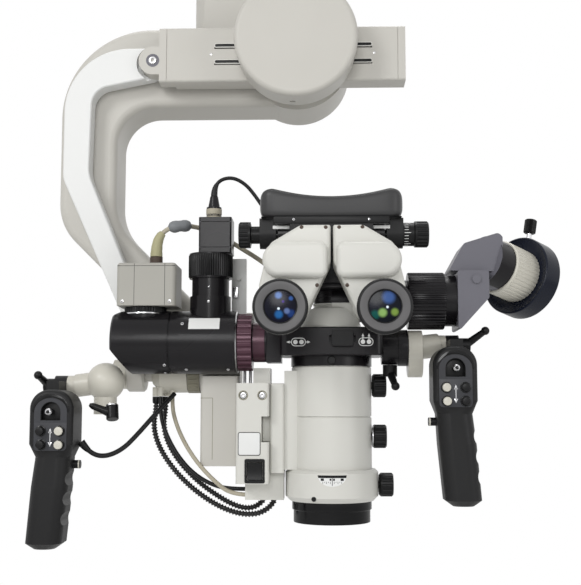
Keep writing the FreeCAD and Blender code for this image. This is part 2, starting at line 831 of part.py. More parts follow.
def make_parallel_link():
    """Cranked white bar that joins the rail's ear to the carrier's crank."""
    width = s.link_width
    right = s.link_left + width
    foot_drop = s.link_bend_z - LINK_FOOT_Z
    lean = (LINK_FOOT_X - (s.link_left + width / 2)) / foot_drop
    half = width * 0.42
    outline = [
        (EAR_X, s.link_top, 0),
        (s.link_left, s.link_top, s.link_top_corner),
        (s.link_left, s.link_bend_z, 30),
        (LINK_FOOT_X - half * 1.03, LINK_FOOT_Z + half * 0.38, 0),
        (LINK_FOOT_X + half * 1.03, LINK_FOOT_Z + half * 0.0, 0),
        (right - 2, s.link_bend_z + lean * 10, 45),
        (right, s.link_top - s.link_bar_height - 14, s.link_inner_corner),
        (EAR_X, s.link_top - s.link_bar_height, 0),
    ]
    body = plate(outline, LINK_FRONT, STACK_BACK)
    across = FreeCAD.Vector(0, 1, 0)
    for x, z in ((EAR_X, EAR_Z), (LINK_FOOT_X, LINK_FOOT_Z)):
        eye = Part.makeCylinder(value_of(s.link_eye_radius), value_of(s.link_thick),
                                vector(x, LINK_FRONT, z), across)
        body = body.fuse(eye)
    body = body.removeSplitter()
    clear = value_of(s.ear_radius) + 4.0
    top_relief = Part.makeCylinder(clear, 40.0, vector(EAR_X, LAP_FRONT - 40, EAR_Z), across)
    foot_relief = Part.makeCylinder(clear, 40.0, vector(LINK_FOOT_X, LAP_FRONT - s.lap_gap, LINK_FOOT_Z), across)
    pin_hole = Part.makeCylinder(value_of(s.ear_pin_radius + s.running_gap), 60.0,
                                 vector(EAR_X, LAP_FRONT - 20, EAR_Z), across)
    foot_hole = Part.makeCylinder(value_of(s.ear_pin_radius + s.lap_gap), 60.0,
                                  vector(LINK_FOOT_X, LINK_FRONT - 10, LINK_FOOT_Z), across)
    body = body.cut(Part.makeCompound([top_relief, foot_relief, pin_hole, foot_hole]))
    front = value_of(LINK_FRONT)
    rim = edges_of(body, lambda edge: abs(edge.BoundBox.YMin - front) < 0.01
                   and abs(edge.BoundBox.YMax - front) < 0.01
                   and not isinstance(edge.Curve, Part.Circle))
    body = body.makeChamfer(1.2, rim)
    keep_shape("parallel_link", body)


def make_carrier():
    """Crank plate that turns on the arm's lower boss, with its post and link pin."""
    piece = Piece("carrier", at=(CARRIER_X, 0, CARRIER_Z))
    half = s.crank_width / 2
    left_end = -s.ear_reach
    piece.prism("XZ", [
        (left_end, -s.ear_drop - half), (0, -half), (0, half), (left_end, -s.ear_drop + half),
    ], LAP_FRONT, STACK_BACK)
    piece.disc("XZ", (left_end, -s.ear_drop), half, LAP_FRONT, STACK_BACK)
    piece.disc("XZ", (0, 0), s.crank_hub_radius, LAP_FRONT, STACK_BACK)
    piece.disc("XZ", (0, 0), s.carrier_pin_radius, STACK_BACK - 1, s.arm_front + s.shaft_reach)
    piece.disc("XZ", (left_end, -s.ear_drop), s.ear_pin_radius, LINK_FRONT, LAP_FRONT + 1)
    tab_left = s.tilt_left - CARRIER_X + 4
    tab_right = s.tilt_left + s.tilt_length - CARRIER_X
    piece.block((tab_left, LAP_FRONT, s.tilt_z - CARRIER_Z + 12), (tab_right, STACK_BACK, -s.ear_drop),)
    post_left = s.post_left - CARRIER_X
    piece.block((post_left, LAP_FRONT - s.lap_thick + 2, -half),
                (post_left + s.post_width, LAP_FRONT + 1, s.post_top - CARRIER_Z))
    piece.disc("XZ", (post_left + s.post_width / 2, s.post_top - CARRIER_Z - 22), s.post_pin_radius,
               LAP_FRONT - s.lap_thick - 4, LAP_FRONT - s.lap_thick + 3)


def make_tilt_joint():
    """Cream tilt housing under the crank and the ribbed ring that locks it."""
    housing = Piece("tilt_housing", at=(s.tilt_left, s.tilt_y, s.tilt_z))
    bore = s.tilt_shaft_radius + s.running_gap
    housing.turned("X", [
        (bore, 0), (s.tilt_radius - s.tilt_bevel, 0), (s.tilt_radius, s.tilt_bevel),
        (s.tilt_radius, s.tilt_length), (bore, s.tilt_length),
    ])
    seat_low = LAP_FRONT - s.tilt_y
    housing.block((4, seat_low - 4, 9), (s.tilt_length, seat_low - 0.01, s.crank_width))
    housing.block((4, seat_low - 4, 12), (s.tilt_length, 30, 60), cut=True)
    foot = -s.gland_reach
    for place, wide in ((CONDUIT_OUTER[0], s.conduit_radius + 1), (CONDUIT_INNER[0], s.conduit_radius + 1),
                        (LEAD_BLACK[0], s.lead_radius + 1), (LEAD_BEIGE[0], s.lead_radius + 1)):
        housing.disc("XY", (place[0] - s.tilt_left, place[1] - s.tilt_y), wide, foot, -14)
    ring = Piece("tilt_lock_ring", at=(s.tilt_left + s.tilt_length + s.side_gap, s.tilt_y, s.tilt_z))
    ring.turned("X", [
        (bore, 0), (s.tilt_radius + 0.5, 0), (s.tilt_radius + 0.5, s.lock_ring_width),
        (bore, s.lock_ring_width),
    ])
    groove = ring.disc("YZ", (s.tilt_radius + 1, 0), 1.1, 1.5, s.lock_ring_width - 1.5, cut=True)
    ring.repeat(groove, "X", s.lock_ring_teeth)


def make_tilt_column():
    """Grey column that tilts on the shaft through the housing, with its shaft."""
    start = s.tilt_left + s.tilt_length + 2 * s.side_gap + s.lock_ring_width
    piece = Piece("tilt_column", at=(0, s.tilt_y, s.tilt_z))
    piece.block((s.column_box_left, s.column_box_front - s.tilt_y, s.column_box_bottom - s.tilt_z),
                (s.column_box_right, s.column_box_back - s.tilt_y, -s.column_box_drop))
    piece.soften(4.0, along("Z"))
    piece.disc("YZ", (0, 0), s.tilt_radius, start, s.column_box_right)
    connector_right = s.connector_left + s.connector_width
    piece.disc("YZ", (0, 0), s.tilt_shaft_radius, connector_right, s.column_box_left)
    piece.turned("X", [
        (0, 0), (s.connector_radius - 2, 0), (s.connector_radius, 2),
        (s.connector_radius, s.connector_width - 2), (s.connector_radius - 2, s.connector_width),
        (0, s.connector_width),
    ], at=(s.connector_left, 0, 0))


def make_slide():
    """Slide block with its guide groove, cable box and rocker, and the carriage that runs on it."""
    block = Piece("slide_block")
    left = s.column_box_right
    block.block((left, s.block_front, s.block_bottom), (s.block_right, s.block_back, s.block_top))
    block.soften(3.0, along("Z", lambda middle: middle.y < value_of(s.block_front) + 0.1))
    block.block((left + 16.5, s.block_front + 22, s.block_top), (s.block_right, s.block_back - 10,
                                                                 s.block_top + s.block_cap_height))
    box_bottom = s.block_bottom - s.cable_box_height
    block.block((left + 8, s.cable_box_front, box_bottom), (s.block_right, s.cable_box_back, s.block_bottom))
    block.block((s.block_right - 1, s.cable_box_front, box_bottom),
                (s.cable_box_right, s.cable_box_back, s.carriage_bottom - 1))
    block.block((s.block_right - 9, s.cable_box_back - 16, box_bottom - 1),
                (s.cable_box_right + 1, s.cable_box_back + 1, s.block_bottom + 3), cut=True)
    half = s.guide_height / 2
    block.block((s.block_right - s.guide_depth, s.block_front - 1, GUIDE_Z - half),
                (s.block_right + 1, s.block_back + 1, GUIDE_Z + half), cut=True)
    wide = s.rocker_width / 2 + 0.6
    tall = s.rocker_height / 2 + 1.2
    block.block((s.rocker_x - wide, s.block_front - 1, s.rocker_z - tall),
                (s.rocker_x + wide, s.block_front + s.rocker_depth, s.rocker_z + tall), cut=True)
    for side in (left + 7.5, s.block_right - 7.5):
        block.disc("XZ", (side, s.block_top - 12.5), s.screw_radius, s.block_front - 1,
                   s.block_front + 2.5, cut=True)
    rocker = Piece("rocker_switch", at=(s.rocker_x, s.block_front + 3, s.rocker_z))
    reach = s.rocker_height / 2
    rocker.prism("YZ", [
        (-5, -reach), (-3.2, 0), (-5, reach), (1, reach - 1), (3.5, 2), (3.5, -2), (1, 1 - reach),
    ], -s.rocker_width / 2, s.rocker_width / 2)
    pin_end = s.rocker_width / 2 + 0.3
    rocker.disc("YZ", (0, 0), 1.5, -pin_end, pin_end)
    carriage = Piece("slide_carriage")
    face = s.block_right + s.guide_gap
    carriage.block((face, s.carriage_front, s.carriage_bottom), (s.carriage_right, s.carriage_back, s.block_top))
    carriage.soften(3.0, along("Z", lambda middle: middle.y < value_of(s.carriage_front) + 0.1))
    rib = half - s.guide_gap
    carriage.block((s.block_right - s.guide_depth + s.guide_gap, s.carriage_front + 6, GUIDE_Z - rib),
                   (face + 1, s.carriage_back - 6, GUIDE_Z + rib))


def make_body():
    """White zoom housing, wider focus housing, black objective ring, lens and side knobs."""
    zoom = Piece("zoom_housing", at=(s.scope_x, s.scope_y, 0))
    radius = s.body_radius
    edge = s.body_chamfer
    low = s.groove_z - s.groove_width / 2
    high = s.groove_z + s.groove_width / 2
    zoom.turned("Z", [
        (0, s.body_bottom), (radius, s.body_bottom), (radius, low), (radius - s.groove_depth, low),
        (radius - s.groove_depth, high), (radius, high), (radius, s.body_top - edge),
        (radius - edge, s.body_top), (0, s.body_top),
    ])
    plate_left = s.carriage_right - s.scope_x
    zoom.block((plate_left, s.plate_front - s.scope_y, s.body_bottom),
               (plate_left + 16, s.plate_back - s.scope_y, s.body_top - 5))
    bore = s.knob_stem_radius + s.running_gap
    for height in (s.zoom_knob_z, s.aperture_knob_z):
        zoom.disc("YZ", (0, height), bore, radius - s.knob_stem_length, radius + 1, cut=True)
    focus = Piece("focus_housing", at=(s.scope_x, s.scope_y, 0))
    wide = s.focus_radius
    focus.turned("Z", [
        (0, s.focus_bottom), (wide - 5, s.focus_bottom), (wide, s.focus_bottom + 5),
        (wide, s.body_bottom - s.focus_edge), (wide - s.focus_edge, s.body_bottom), (0, s.body_bottom),
    ])
    half = s.window_width / 2
    tall = s.window_height
    focus.prism("XZ", [
        (-half, 0), (half, 0), (half * 0.9, tall * 0.45), (half * 0.62, tall * 0.8), (half * 0.3, tall),
        (half * -0.3, tall), (half * -0.62, tall * 0.8), (half * -0.9, tall * 0.45),
    ], -wide - 1, s.window_depth * 2 - wide, cut=True, at=(0, s.window_z))
    focus.disc("XZ", (-18.5, s.window_z - 13.5), 2.4, -wide - 1, 6 - wide, cut=True)
    focus.disc("YZ", (0, s.focus_knob_z), bore, wide - s.knob_stem_length, wide + 1, cut=True)
    ring = Piece("objective_ring", at=(s.scope_x, s.scope_y, 0))
    lip = s.ring_bottom + 5
    ring.turned("Z", [
        (s.ring_bore_radius - 2.5, s.ring_bottom), (s.ring_lower_radius, s.ring_bottom),
        (s.ring_lower_radius, s.ring_step_z), (s.ring_radius, s.ring_step_z),
        (s.ring_radius, s.focus_bottom), (s.ring_bore_radius, s.focus_bottom),
        (s.ring_bore_radius, lip), (s.ring_bore_radius - 2.5, lip),
    ])
    lens = Piece("objective_lens", at=(s.scope_x, s.scope_y, lip))
    lens.turned("Z", [
        (0, -s.lens_crown), (s.lens_radius * 0.5, s.lens_crown * -0.74), (s.lens_radius * 0.9, 0),
        (s.lens_radius, 0), (s.lens_radius, s.lens_edge),
        (s.lens_radius * 0.5, s.lens_edge + s.lens_crown * 0.5), (0, s.lens_edge + s.lens_crown * 0.7),
    ])
    for label, height, start in (("zoom_knob", s.zoom_knob_z, radius), ("aperture_knob", s.aperture_knob_z, radius),
                                 ("focus_knob", s.focus_knob_z, wide)):
        make_knob(label, (s.scope_x + start + 0.5, s.scope_y, height))


def make_knob(label, at):
    """Fluted control knob on a stem, turning about X."""
    knob = Piece(label, at=at)
    knob.turned("X", [
        (0, 1 - s.knob_stem_length), (s.knob_stem_radius, 1 - s.knob_stem_length), (s.knob_stem_radius, 0),
        (s.knob_radius - 2, 0), (s.knob_radius, 2), (s.knob_radius, s.knob_length - 1.5),
        (s.knob_radius - 1.5, s.knob_length), (0, s.knob_length),
    ])
    flute = knob.disc("YZ", (s.knob_radius + 1.2, 0), 2.0, 3.0, s.knob_length + 1, cut=True)
    knob.repeat(flute, "X", 16)


def make_beam_splitter():
    """Black splitter block with its ring foot, left port block and right side port."""
    right = s.splitter_left + s.splitter_width
    piece = Piece("beam_splitter")
    piece.block((s.splitter_left, s.splitter_front, s.splitter_bottom), (right, s.splitter_back, s.splitter_top))
    piece.soften(8.0, along("Z"))
    piece.soften(1.5, along("X"))
    foot = s.body_radius + 0.5
    piece.turned("Z", [
        (0, s.body_top), (foot, s.body_top), (foot, s.splitter_bottom + 1), (0, s.splitter_bottom + 1),
    ], at=(s.scope_x, s.scope_y, 0))
    half = s.port_block_height / 2
    middle = s.side_port_z
    piece.block((s.port_block_left, s.tube_y - half, middle - half + 2),
                (s.splitter_left + 1, s.tube_y + half, middle + half - 2))
    end = right + s.side_port_length
    piece.turned("X", [
        (0, right - 1), (s.side_port_radius, right - 1), (s.side_port_radius, end), (s.side_ring_radius, end),
        (s.side_ring_radius, end + s.side_ring_width), (0, end + s.side_ring_width),
    ], at=(0, s.tube_y, s.side_port_z))
    piece.disc("XZ", (s.scope_x, s.button_z), s.button_radius + s.running_gap, s.scope_y - foot - 2,
               s.scope_y - foot + 9, cut=True)
    slot_wide = s.lever_width / 2 + s.lever_travel + 0.5
    lever_x = s.scope_x + 11
    piece.block((lever_x - slot_wide + 6, s.splitter_front - 1, s.lever_z - 3.5),
                (lever_x + slot_wide - 6, s.splitter_front + 8, s.lever_z + 3.5), cut=True)
    lever = Piece("splitter_lever", at=(lever_x, s.splitter_front, s.lever_z))
    wide = s.lever_width / 2
    tall = s.lever_height / 2
    lever.block((-wide, -6.3, -tall), (wide, -0.3, tall))
    lever.soften(2.0, along("Y"))
    lever.block((6 - wide, -1, -3.2), (wide - 6, 7, 3.2))
    button = Piece("lock_button", at=(s.scope_x, s.scope_y - foot, s.button_z))
    button.turned("Y", [
        (0, -4), (s.button_radius - 1, -4), (s.button_radius, -3), (s.button_radius, 5), (0, 5),
    ])


def make_binocular():
    """Conical base with ribbed throat and hinge barrel, and the tilting saddle on it."""
    base = Piece("binocular_base", at=(s.scope_x, s.tube_y, s.splitter_top))
    ribs = [(0, 0), (s.base_radius, 0), (s.base_radius, 3), (s.base_top_radius, s.base_height)]
    pitch = s.throat_height / s.throat_ribs
    for number in range(int(value_of(s.throat_ribs))):
        foot = s.base_height + pitch * number
        ribs += [(s.throat_radius, foot), (s.throat_radius, foot + pitch * 0.6),
                 (s.throat_radius - 1.5, foot + pitch * 0.65), (s.throat_radius - 1.5, foot + pitch)]
    ribs += [(0, s.base_height + s.throat_height)]
    base.turned("Z", ribs)
    pipe_z = s.assist_z - s.splitter_top
    base.disc("YZ", (0, pipe_z), s.assist_pipe_radius, 0, s.coupling_left - s.scope_x)
    wide = s.yoke_width / 2
    forward = s.hinge_y - s.tube_y
    top = s.hinge_z - s.splitter_top
    base.block((-wide, forward - 14, s.base_height + s.throat_height - 1), (wide, 14, top - 19))
    base.block((-wide, forward - 12, top - 20), (wide, forward + 12, top))
    half = s.saddle_width / 2 - s.cheek_width - s.barrel_gap
    base.turned("X", [
        (0, -half), (s.barrel_radius, -half), (s.barrel_radius, half), (0, half),
    ], at=(0, forward, top))
    pin = s.hinge_pin_radius + s.running_gap
    for low, high in ((-half - 1, 17 - half), (half - 17, half + 1)):
        base.disc("YZ", (forward, top), pin, low, high, cut=True)
    make_saddle()


def make_saddle():
    """Black saddle cover whose cheeks turn on the hinge, with the plate that carries both prisms."""
    saddle = Piece("tilt_saddle", at=(s.scope_x, s.hinge_y, s.hinge_z))
    half = s.saddle_width / 2
    rise = s.saddle_top - s.hinge_z
    dip = rise - s.saddle_dip
    under = s.barrel_radius + 1.8
    front = s.saddle_front - s.hinge_y
    back = s.saddle_back - s.hinge_y
    saddle.prism("XZ", [
        (-half, 0), (-half, rise * 0.6), (-half + 5, rise - 4), (-half + 12, rise), (half * -0.45, rise - 5),
        (0, dip), (half * 0.45, rise - 5), (half - 12, rise), (half - 5, rise - 4), (half, rise * 0.6),
        (half, 0), (half - s.cheek_width, 0), (half - s.cheek_width, under), (s.cheek_width - half, under),
        (s.cheek_width - half, 0),
    ], -s.cheek_radius, s.cheek_radius)
    saddle.prism("XZ", [
        (-half + 2, under), (-half + 2, rise * 0.6), (-half + 6, rise - 5), (-half + 13, rise - 1.5),
        (half * -0.45, rise - 6.5), (0, dip - 1.5), (half * 0.45, rise - 6.5), (half - 13, rise - 1.5),
        (half - 6, rise - 5), (half - 2, rise * 0.6), (half - 2, under),
    ], front, back)
    rim = value_of(front)
    saddle.soften(s.saddle_edge, lambda edge: abs(edge.CenterOfMass.y - rim) < 0.01
                  and edge.CenterOfMass.z > value_of(under) + 1)
    for low, high in ((-half, s.cheek_width - half), (half - s.cheek_width, half)):
        saddle.disc("YZ", (0, 0), s.cheek_radius, low, high)
    reach = s.cheek_width - half
    saddle.disc("YZ", (0, 0), s.hinge_pin_radius, reach - 1, reach + 15)
    saddle.disc("YZ", (0, 0), s.hinge_pin_radius, -reach - 15, 1 - reach)
    plate_low = s.face_plate_bottom - s.hinge_z
    wide = s.yoke_width / 2 + 18
    saddle.block((-wide, front, plate_low), (wide, front + s.face_plate_thick, under + 1))
    for side in (-1, 1):
        saddle.disc("XZ", (side * s.prism_x, s.prism_z - s.hinge_z), s.prism_pin_radius, front - 14, front + 1)
    bore = s.knob_stem_radius + s.running_gap
    for low, high in ((-half - 1, s.knob_stem_length - half), (half - s.knob_stem_length, half + 1)):
        saddle.disc("YZ", (0, 0), bore, low, high, cut=True)


def make_pd_knobs():
    """Knobs on both ends of the hinge that set the distance between the eyepieces."""
    half = s.saddle_width / 2
    stem = s.knob_stem_length - 1
    neck = s.pd_neck_length
    end = neck + s.pd_knob_width
    left = Piece("pd_knob_left", at=(s.scope_x - half - 0.3, s.hinge_y, s.hinge_z))
    left.turned("X", [
        (0, stem), (s.knob_stem_radius, stem), (s.knob_stem_radius, 0), (s.pd_neck_radius, 0),
        (s.pd_neck_radius, -neck), (s.pd_knob_radius, -neck - 1), (s.pd_knob_radius, 1.5 - end),
        (s.pd_knob_radius - 1.5, -end), (0, -end),
    ])
    flute = left.disc("YZ", (s.pd_knob_radius + 0.9, 0), 1.8, -end - 1, -neck - 3, cut=True)
    left.repeat(flute, "X", 20)
    right = Piece("pd_knob_right", at=(s.scope_x + half + 0.3, s.hinge_y, s.hinge_z))
    drum = s.scale_drum_width
    far = drum + s.pd_knob_width + 2
    right.turned("X", [
        (0, -stem), (s.knob_stem_radius, -stem), (s.knob_stem_radius, 0), (s.pd_knob_radius - 1.5, 0),
        (s.pd_knob_radius - 1.5, drum), (s.pd_knob_radius, drum + 1), (s.pd_knob_radius, far - 1.5),
        (s.pd_knob_radius - 1.5, far), (0, far),
    ])
    flute = right.disc("YZ", (s.pd_knob_radius + 0.9, 0), 1.8, drum + 3, far + 1, cut=True)
    right.repeat(flute, "X", 20)


def prism_cover_shape():
    """Left prism cover with its bulge, pivot bore and eyepiece bore."""
    middle = s.scope_x
    pivot = middle - s.prism_x
    eye = middle - s.eye_spread
    inner = middle - s.prism_inner_gap
    back = s.saddle_front - 0.6
    outline = [
        (inner, s.prism_top, 2), (inner, s.prism_z - 1, 8), (eye + 24, s.eye_z - 3, 14),
        (eye + 6, s.eye_z - 22, 12), (eye - 20, s.eye_z - 6, 12), (eye - 22, s.eye_z + 24, 14),
        (eye - 12, s.prism_z + 17, 12), (eye + 18, s.prism_top, 12),
    ]
    body = plate(outline, s.prism_front, back)
    front = value_of(s.prism_front)
    body = body.makeFillet(4.0, edges_of(body, lambda edge: abs(edge.CenterOfMass.y - front) < 0.01))
    half = value_of(s.bulge_height) / 2
    low = value_of(s.prism_z) - half
    left = value_of(inner - s.bulge_reach) + half
    right = value_of(inner) - 3
    depth = value_of(s.bulge_depth) + 8
    bulge = box_between(FreeCAD.Vector(left, front - value_of(s.bulge_depth), low),
                        FreeCAD.Vector(right, front + 8, low + 2 * half))
    bulge = bulge.fuse(Part.makeCylinder(half, depth, FreeCAD.Vector(left, front + 8, low + half),
                                         FreeCAD.Vector(0, -1, 0))).removeSplitter()
    tip = front - value_of(s.bulge_depth)
    bulge = bulge.makeFillet(value_of(s.bulge_corner), edges_of(bulge, along(
        "Y", lambda middle: middle.x > right - 0.1)))
    bulge = bulge.makeFillet(5.0, edges_of(bulge, lambda edge: abs(edge.CenterOfMass.y - tip) < 0.01))
    across = FreeCAD.Vector(0, 1, 0)
    collar = Part.makeCylinder(value_of(s.eye_tube_radius) + 4, 12.0, vector(eye, s.prism_front - 3, s.eye_z), across)
    body = body.fuse([bulge, collar])
    pivot_bore = Part.makeCylinder(value_of(s.prism_pin_radius + s.running_gap), 15.0,
                                   vector(pivot, back - 15, s.prism_z), across)
    eye_bore = Part.makeCylinder(value_of(s.eye_tube_radius + s.running_gap), 24.0,
                                 vector(eye, s.prism_front - 4, s.eye_z), across)
    return body.cut(Part.makeCompound([pivot_bore, eye_bore]))


def make_prisms():
    """Both prism covers, each the other's mirror image, and both eyepieces."""
    left = prism_cover_shape()
    keep_shape("prism_cover_left", left)
    keep_shape("prism_cover_right", left.mirror(vector(s.scope_x, 0, 0), FreeCAD.Vector(1, 0, 0)))
    for side, label in ((-1, "eyepiece_left"), (1, "eyepiece_right")):
        eye = Piece(label, at=(s.scope_x + side * s.eye_spread, s.eye_front, s.eye_z))
        cup = s.eyecup_length
        length = s.eye_tube_length + 14
        inner = s.eye_lens_radius
        eye.turned("Y", [
            (0, 5), (inner, 4), (inner + 2, 4), (inner + 3, 1), (s.eyecup_radius - 1.5, 0),
            (s.eyecup_radius, 1.5), (s.eyecup_radius, cup - 8), (s.eye_tube_radius + 3, cup - 4),
            (s.eye_tube_radius + 3, cup + 8), (s.eye_tube_radius, cup + 8), (s.eye_tube_radius, length),
            (0, length),
        ])


def make_left_ports():
    """Plum clamp ring, black video tube, its vertical port with cube camera, and the grey camera box."""
    ring = Piece("clamp_ring", at=(s.clamp_ring_left, s.tube_y, s.port_z))
    neck = s.clamp_neck_radius
    ring.turned("X", [
        (neck + s.running_gap, 0), (s.clamp_ring_radius, 0), (s.clamp_ring_radius, s.clamp_ring_width),
        (neck + s.running_gap, s.clamp_ring_width),
    ])
    notch = ring.disc("YZ", (s.clamp_ring_radius + 1.4, 0), 2.6, -1, s.clamp_ring_width + 1, cut=True)
    ring.repeat(notch, "X", 24)
    tube = Piece("video_tube", at=(0, s.tube_y, s.port_z))
    end = s.clamp_ring_left - s.side_gap
    sleeve_left = s.clamp_ring_left + s.clamp_ring_width + s.side_gap
    left = s.video_left
    radius = s.video_radius
    tube.turned("X", [
        (0, left), (radius - 2, left), (radius, left + 2), (radius, s.video_groove_x - 1),
        (radius - 1.5, s.video_groove_x - 1),
        (radius - 1.5, s.video_groove_x + 1), (radius, s.video_groove_x + 1), (radius, end - 1.5),
        (radius - 1.5, end), (neck, end), (neck, sleeve_left), (s.sleeve_radius, sleeve_left),
        (s.sleeve_radius, s.port_block_left), (0, s.port_block_left),
    ])
    mitre = s.video_mitre
    bevel = s.video_bevel
    tube.prism("XZ", [
        (left - 1, -radius - 1), (left + mitre + 1, -radius - 1), (left - 1, mitre * 1.3 - radius + 1.3),
    ], -radius - 1, radius + 1, cut=True)
    tube.prism("XZ", [
        (left - 1, radius + 1), (left - 1, radius - bevel), (left + bevel * 1.5, radius + 1),
    ], -radius - 1, radius + 1, cut=True)
    tube.disc("XY", (s.port_tube_x, 0), s.port_base_radius, 0, s.port_base_top - s.port_z)
    tube.disc("XY", (s.camera_adapter_x, 0), s.camera_adapter_radius, 10, s.camera_foot - s.port_z)
    port_foot = s.port_base_top - s.port_z
    knurl_foot = s.port_knurl_bottom - s.port_z
    knurl_top = s.port_knurl_top - s.port_z
    tube.turned("Z", [
        (0, port_foot - 1), (s.port_tube_radius, port_foot - 1), (s.port_tube_radius, knurl_foot),
        (s.port_knurl_radius, knurl_foot), (s.port_knurl_radius, knurl_top), (0, knurl_top),
    ], at=(s.port_tube_x, 0, 0))
    cube = Piece("camera_cube", at=(s.port_tube_x + 6, s.tube_y, s.port_knurl_top))
    half = s.cube_side / 2
    cube.block((-half, -half, 0), (half, half, s.cube_height))
    cube.soften(2.0, along("Z"))
    top = s.cube_height + s.cube_sleeve_height
    cube.disc("XY", (-3, 0), s.cube_sleeve_radius, s.cube_height - 1, top)
    cube.turned("Z", [
        (0, top - 1), (s.cube_sleeve_radius - 1.5, top - 1), (s.cable_radius + 1.6, top + s.cube_boot_height),
        (0, top + s.cube_boot_height),
    ], at=(-3, 0, 0))
    box = Piece("camera_box", at=(s.camera_left, s.tube_y, s.camera_foot))
    deep = s.camera_depth / 2
    box.block((0, -deep, 0), (s.camera_width, deep, s.camera_height))
    box.soften(5.0, along("Z"))
    box.soften(3.0, round_or_straight_top(s.camera_height))
    box.disc("XY", (s.collar_x - s.camera_left, 0), s.collar_radius, s.camera_height - 1,
             s.camera_height + s.collar_height)


def round_or_straight_top(height):
    """Picks every edge of the top rim."""
    return lambda edge: abs(edge.BoundBox.ZMin - value_of(height)) < 0.01


def assist_direction():
    """The way that the assistant's port looks: to the right, away from the user and a little down."""
    turn = math.radians(value_of(s.assist_turn))
    dip = math.radians(value_of(s.assist_dip))
    return FreeCAD.Vector(math.sin(turn) * math.cos(dip), math.cos(turn) * math.cos(dip), -math.sin(dip))


def make_assistant_side():
    """Ribbed coupling, slate block, hood, cream focus ring and dark dish of the assistant's port."""
    coupling = Piece("ribbed_coupling", at=(s.coupling_left + s.side_gap, s.tube_y, s.assist_z))
    width = s.coupling_width
    neck_end = width + s.coupling_neck_width
    around = s.coupling_radius
    coupling.turned("X", [
        (0, 0), (around - 1.5, 0), (around, 1.5), (around, width - 3), (around - 2.5, width),
        (s.coupling_neck_radius, width), (s.coupling_neck_radius, neck_end), (0, neck_end),
    ])
    flute = coupling.block((-1, s.flute_width / -2, around - s.flute_depth), (width + 1, s.flute_width / 2, around + 1),
                           cut=True)
    coupling.repeat(flute, "X", s.coupling_flutes)
    block_left = s.coupling_left + s.side_gap + neck_end
    block_right = block_left + s.angle_block_width
    half = s.angle_block_depth / 2
    centre = vector(s.assist_ring_x, s.assist_ring_y, s.assist_ring_z)
    way = assist_direction()
    gap = value_of(s.lap_gap)
    ring_space = Part.makeCylinder(value_of(s.assist_ring_radius) + 1.0, value_of(s.assist_ring_width) * 3,
                                   centre - way * gap, way)
    seat_length = value_of(s.assist_seat_length)
    seat = Part.makeCylinder(value_of(s.assist_ring_radius) - 2, seat_length, centre - way * (seat_length + gap), way)
    block = plate([
        (block_left, s.angle_block_top, 2), (block_right, s.angle_block_top, 2),
        (block_right, s.assist_z + 1, 4), (block_left, s.assist_z - 34, 2),
    ], s.tube_y - half, s.tube_y + half)
    pivot = Part.makeCylinder(4.5, 2.0, vector(block_left + 19, s.tube_y - half, s.angle_block_top - 9),
                              FreeCAD.Vector(0, -1, 0))
    block = block.fuse(pivot)
    hood_half = s.hood_depth / 2
    hood = plate([
        (block_left - 8, s.angle_block_top + 1, 2), (block_left + 8, s.angle_block_top + s.hood_height - 11, 5),
        (block_left + s.hood_length - 4, s.angle_block_top + s.hood_height, 5),
        (block_left + s.hood_length, s.angle_block_top + s.hood_height - 4.5, 2),
        (block_left + s.hood_length, s.angle_block_top, 2),
    ], s.tube_y - hood_half, s.tube_y + hood_half + 16)
    whole = block.fuse([hood, seat]).removeSplitter()
    keep_shape("angled_block", whole.cut(ring_space))
    across = FreeCAD.Vector(-way.y, way.x, 0).normalize()
    axis = (across.x, across.y, 0)
    turn = math.degrees(math.acos(way.z))
    place = (s.assist_ring_x, s.assist_ring_y, s.assist_ring_z)
    neck = s.assist_neck_radius
    length = s.assist_ring_width
    ring = Piece("focus_ring", at=place, axis=axis, turn=turn)
    ring.turned("Z", [
        (neck + s.running_gap, 0), (s.assist_ring_radius - 1, 0), (s.assist_ring_radius, 1),
        (s.assist_ring_radius, length), (neck + s.running_gap, length),
    ])
    tooth = ring.disc("XY", (s.assist_ring_radius + 0.7, 0), 1.4, 3, length + 1, cut=True)
    ring.repeat(tooth, "Z", s.assist_ring_teeth)
    dish = Piece("port_dish", at=place, axis=axis, turn=turn)
    foot = length + s.side_gap
    lip = foot - s.dish_overlap
    back = lip + s.dish_depth
    floor = back - s.dish_recess_depth
    dish.turned("Z", [
        (0, 0), (neck, 0), (neck, foot), (s.assist_ring_radius + 1.3, foot), (s.dish_radius - 1.5, lip),
        (s.dish_radius, lip + 1), (s.dish_radius, back - 3), (s.dish_radius - 3, back),
        (s.dish_recess_radius, back), (s.dish_recess_radius - 2, floor), (0, floor),
    ])
    up = FreeCAD.Vector(0, 0, 1)
    rise = (up - way * up.dot(way)).normalize()
    spot = centre + way * value_of(floor) + rise * value_of(s.dish_radius)
    lean = FreeCAD.Rotation(up, rise)
    screw = Piece("lock_screw", at=(spot.x, spot.y, spot.z), axis=tuple(lean.Axis), turn=math.degrees(lean.Angle))
    screw.turned("Z", [
        (0, 0.3), (s.lock_rod_radius, 0.3), (s.lock_rod_radius, s.lock_rod_height),
        (s.lock_knob_radius, s.lock_rod_height + 1), (s.lock_knob_radius, s.lock_rod_height + s.lock_knob_height),
        (0, s.lock_rod_height + s.lock_knob_height),
    ])
    print("assistant axis", way, "ring", centre, "screw", spot, rise)


def clamp_lever(label, base, axis, arm):
    """Clamp lever: a hub, a slim arm that leaves it at a slant and a round end."""
    hub = Part.makeCylinder(value_of(s.clamp_hub_radius), value_of(s.clamp_hub_height), base, axis)
    heart = base + axis * (value_of(s.clamp_hub_height) * 0.6)
    tip = heart + arm.normalize() * value_of(s.clamp_arm_length)
    stick = Part.makeCone(4.4, 3.2, (tip - heart).Length, heart, tip - heart)
    ball = Part.makeSphere(4.4, tip)
    keep_shape(label, hub.fuse([stick, ball]).removeSplitter())


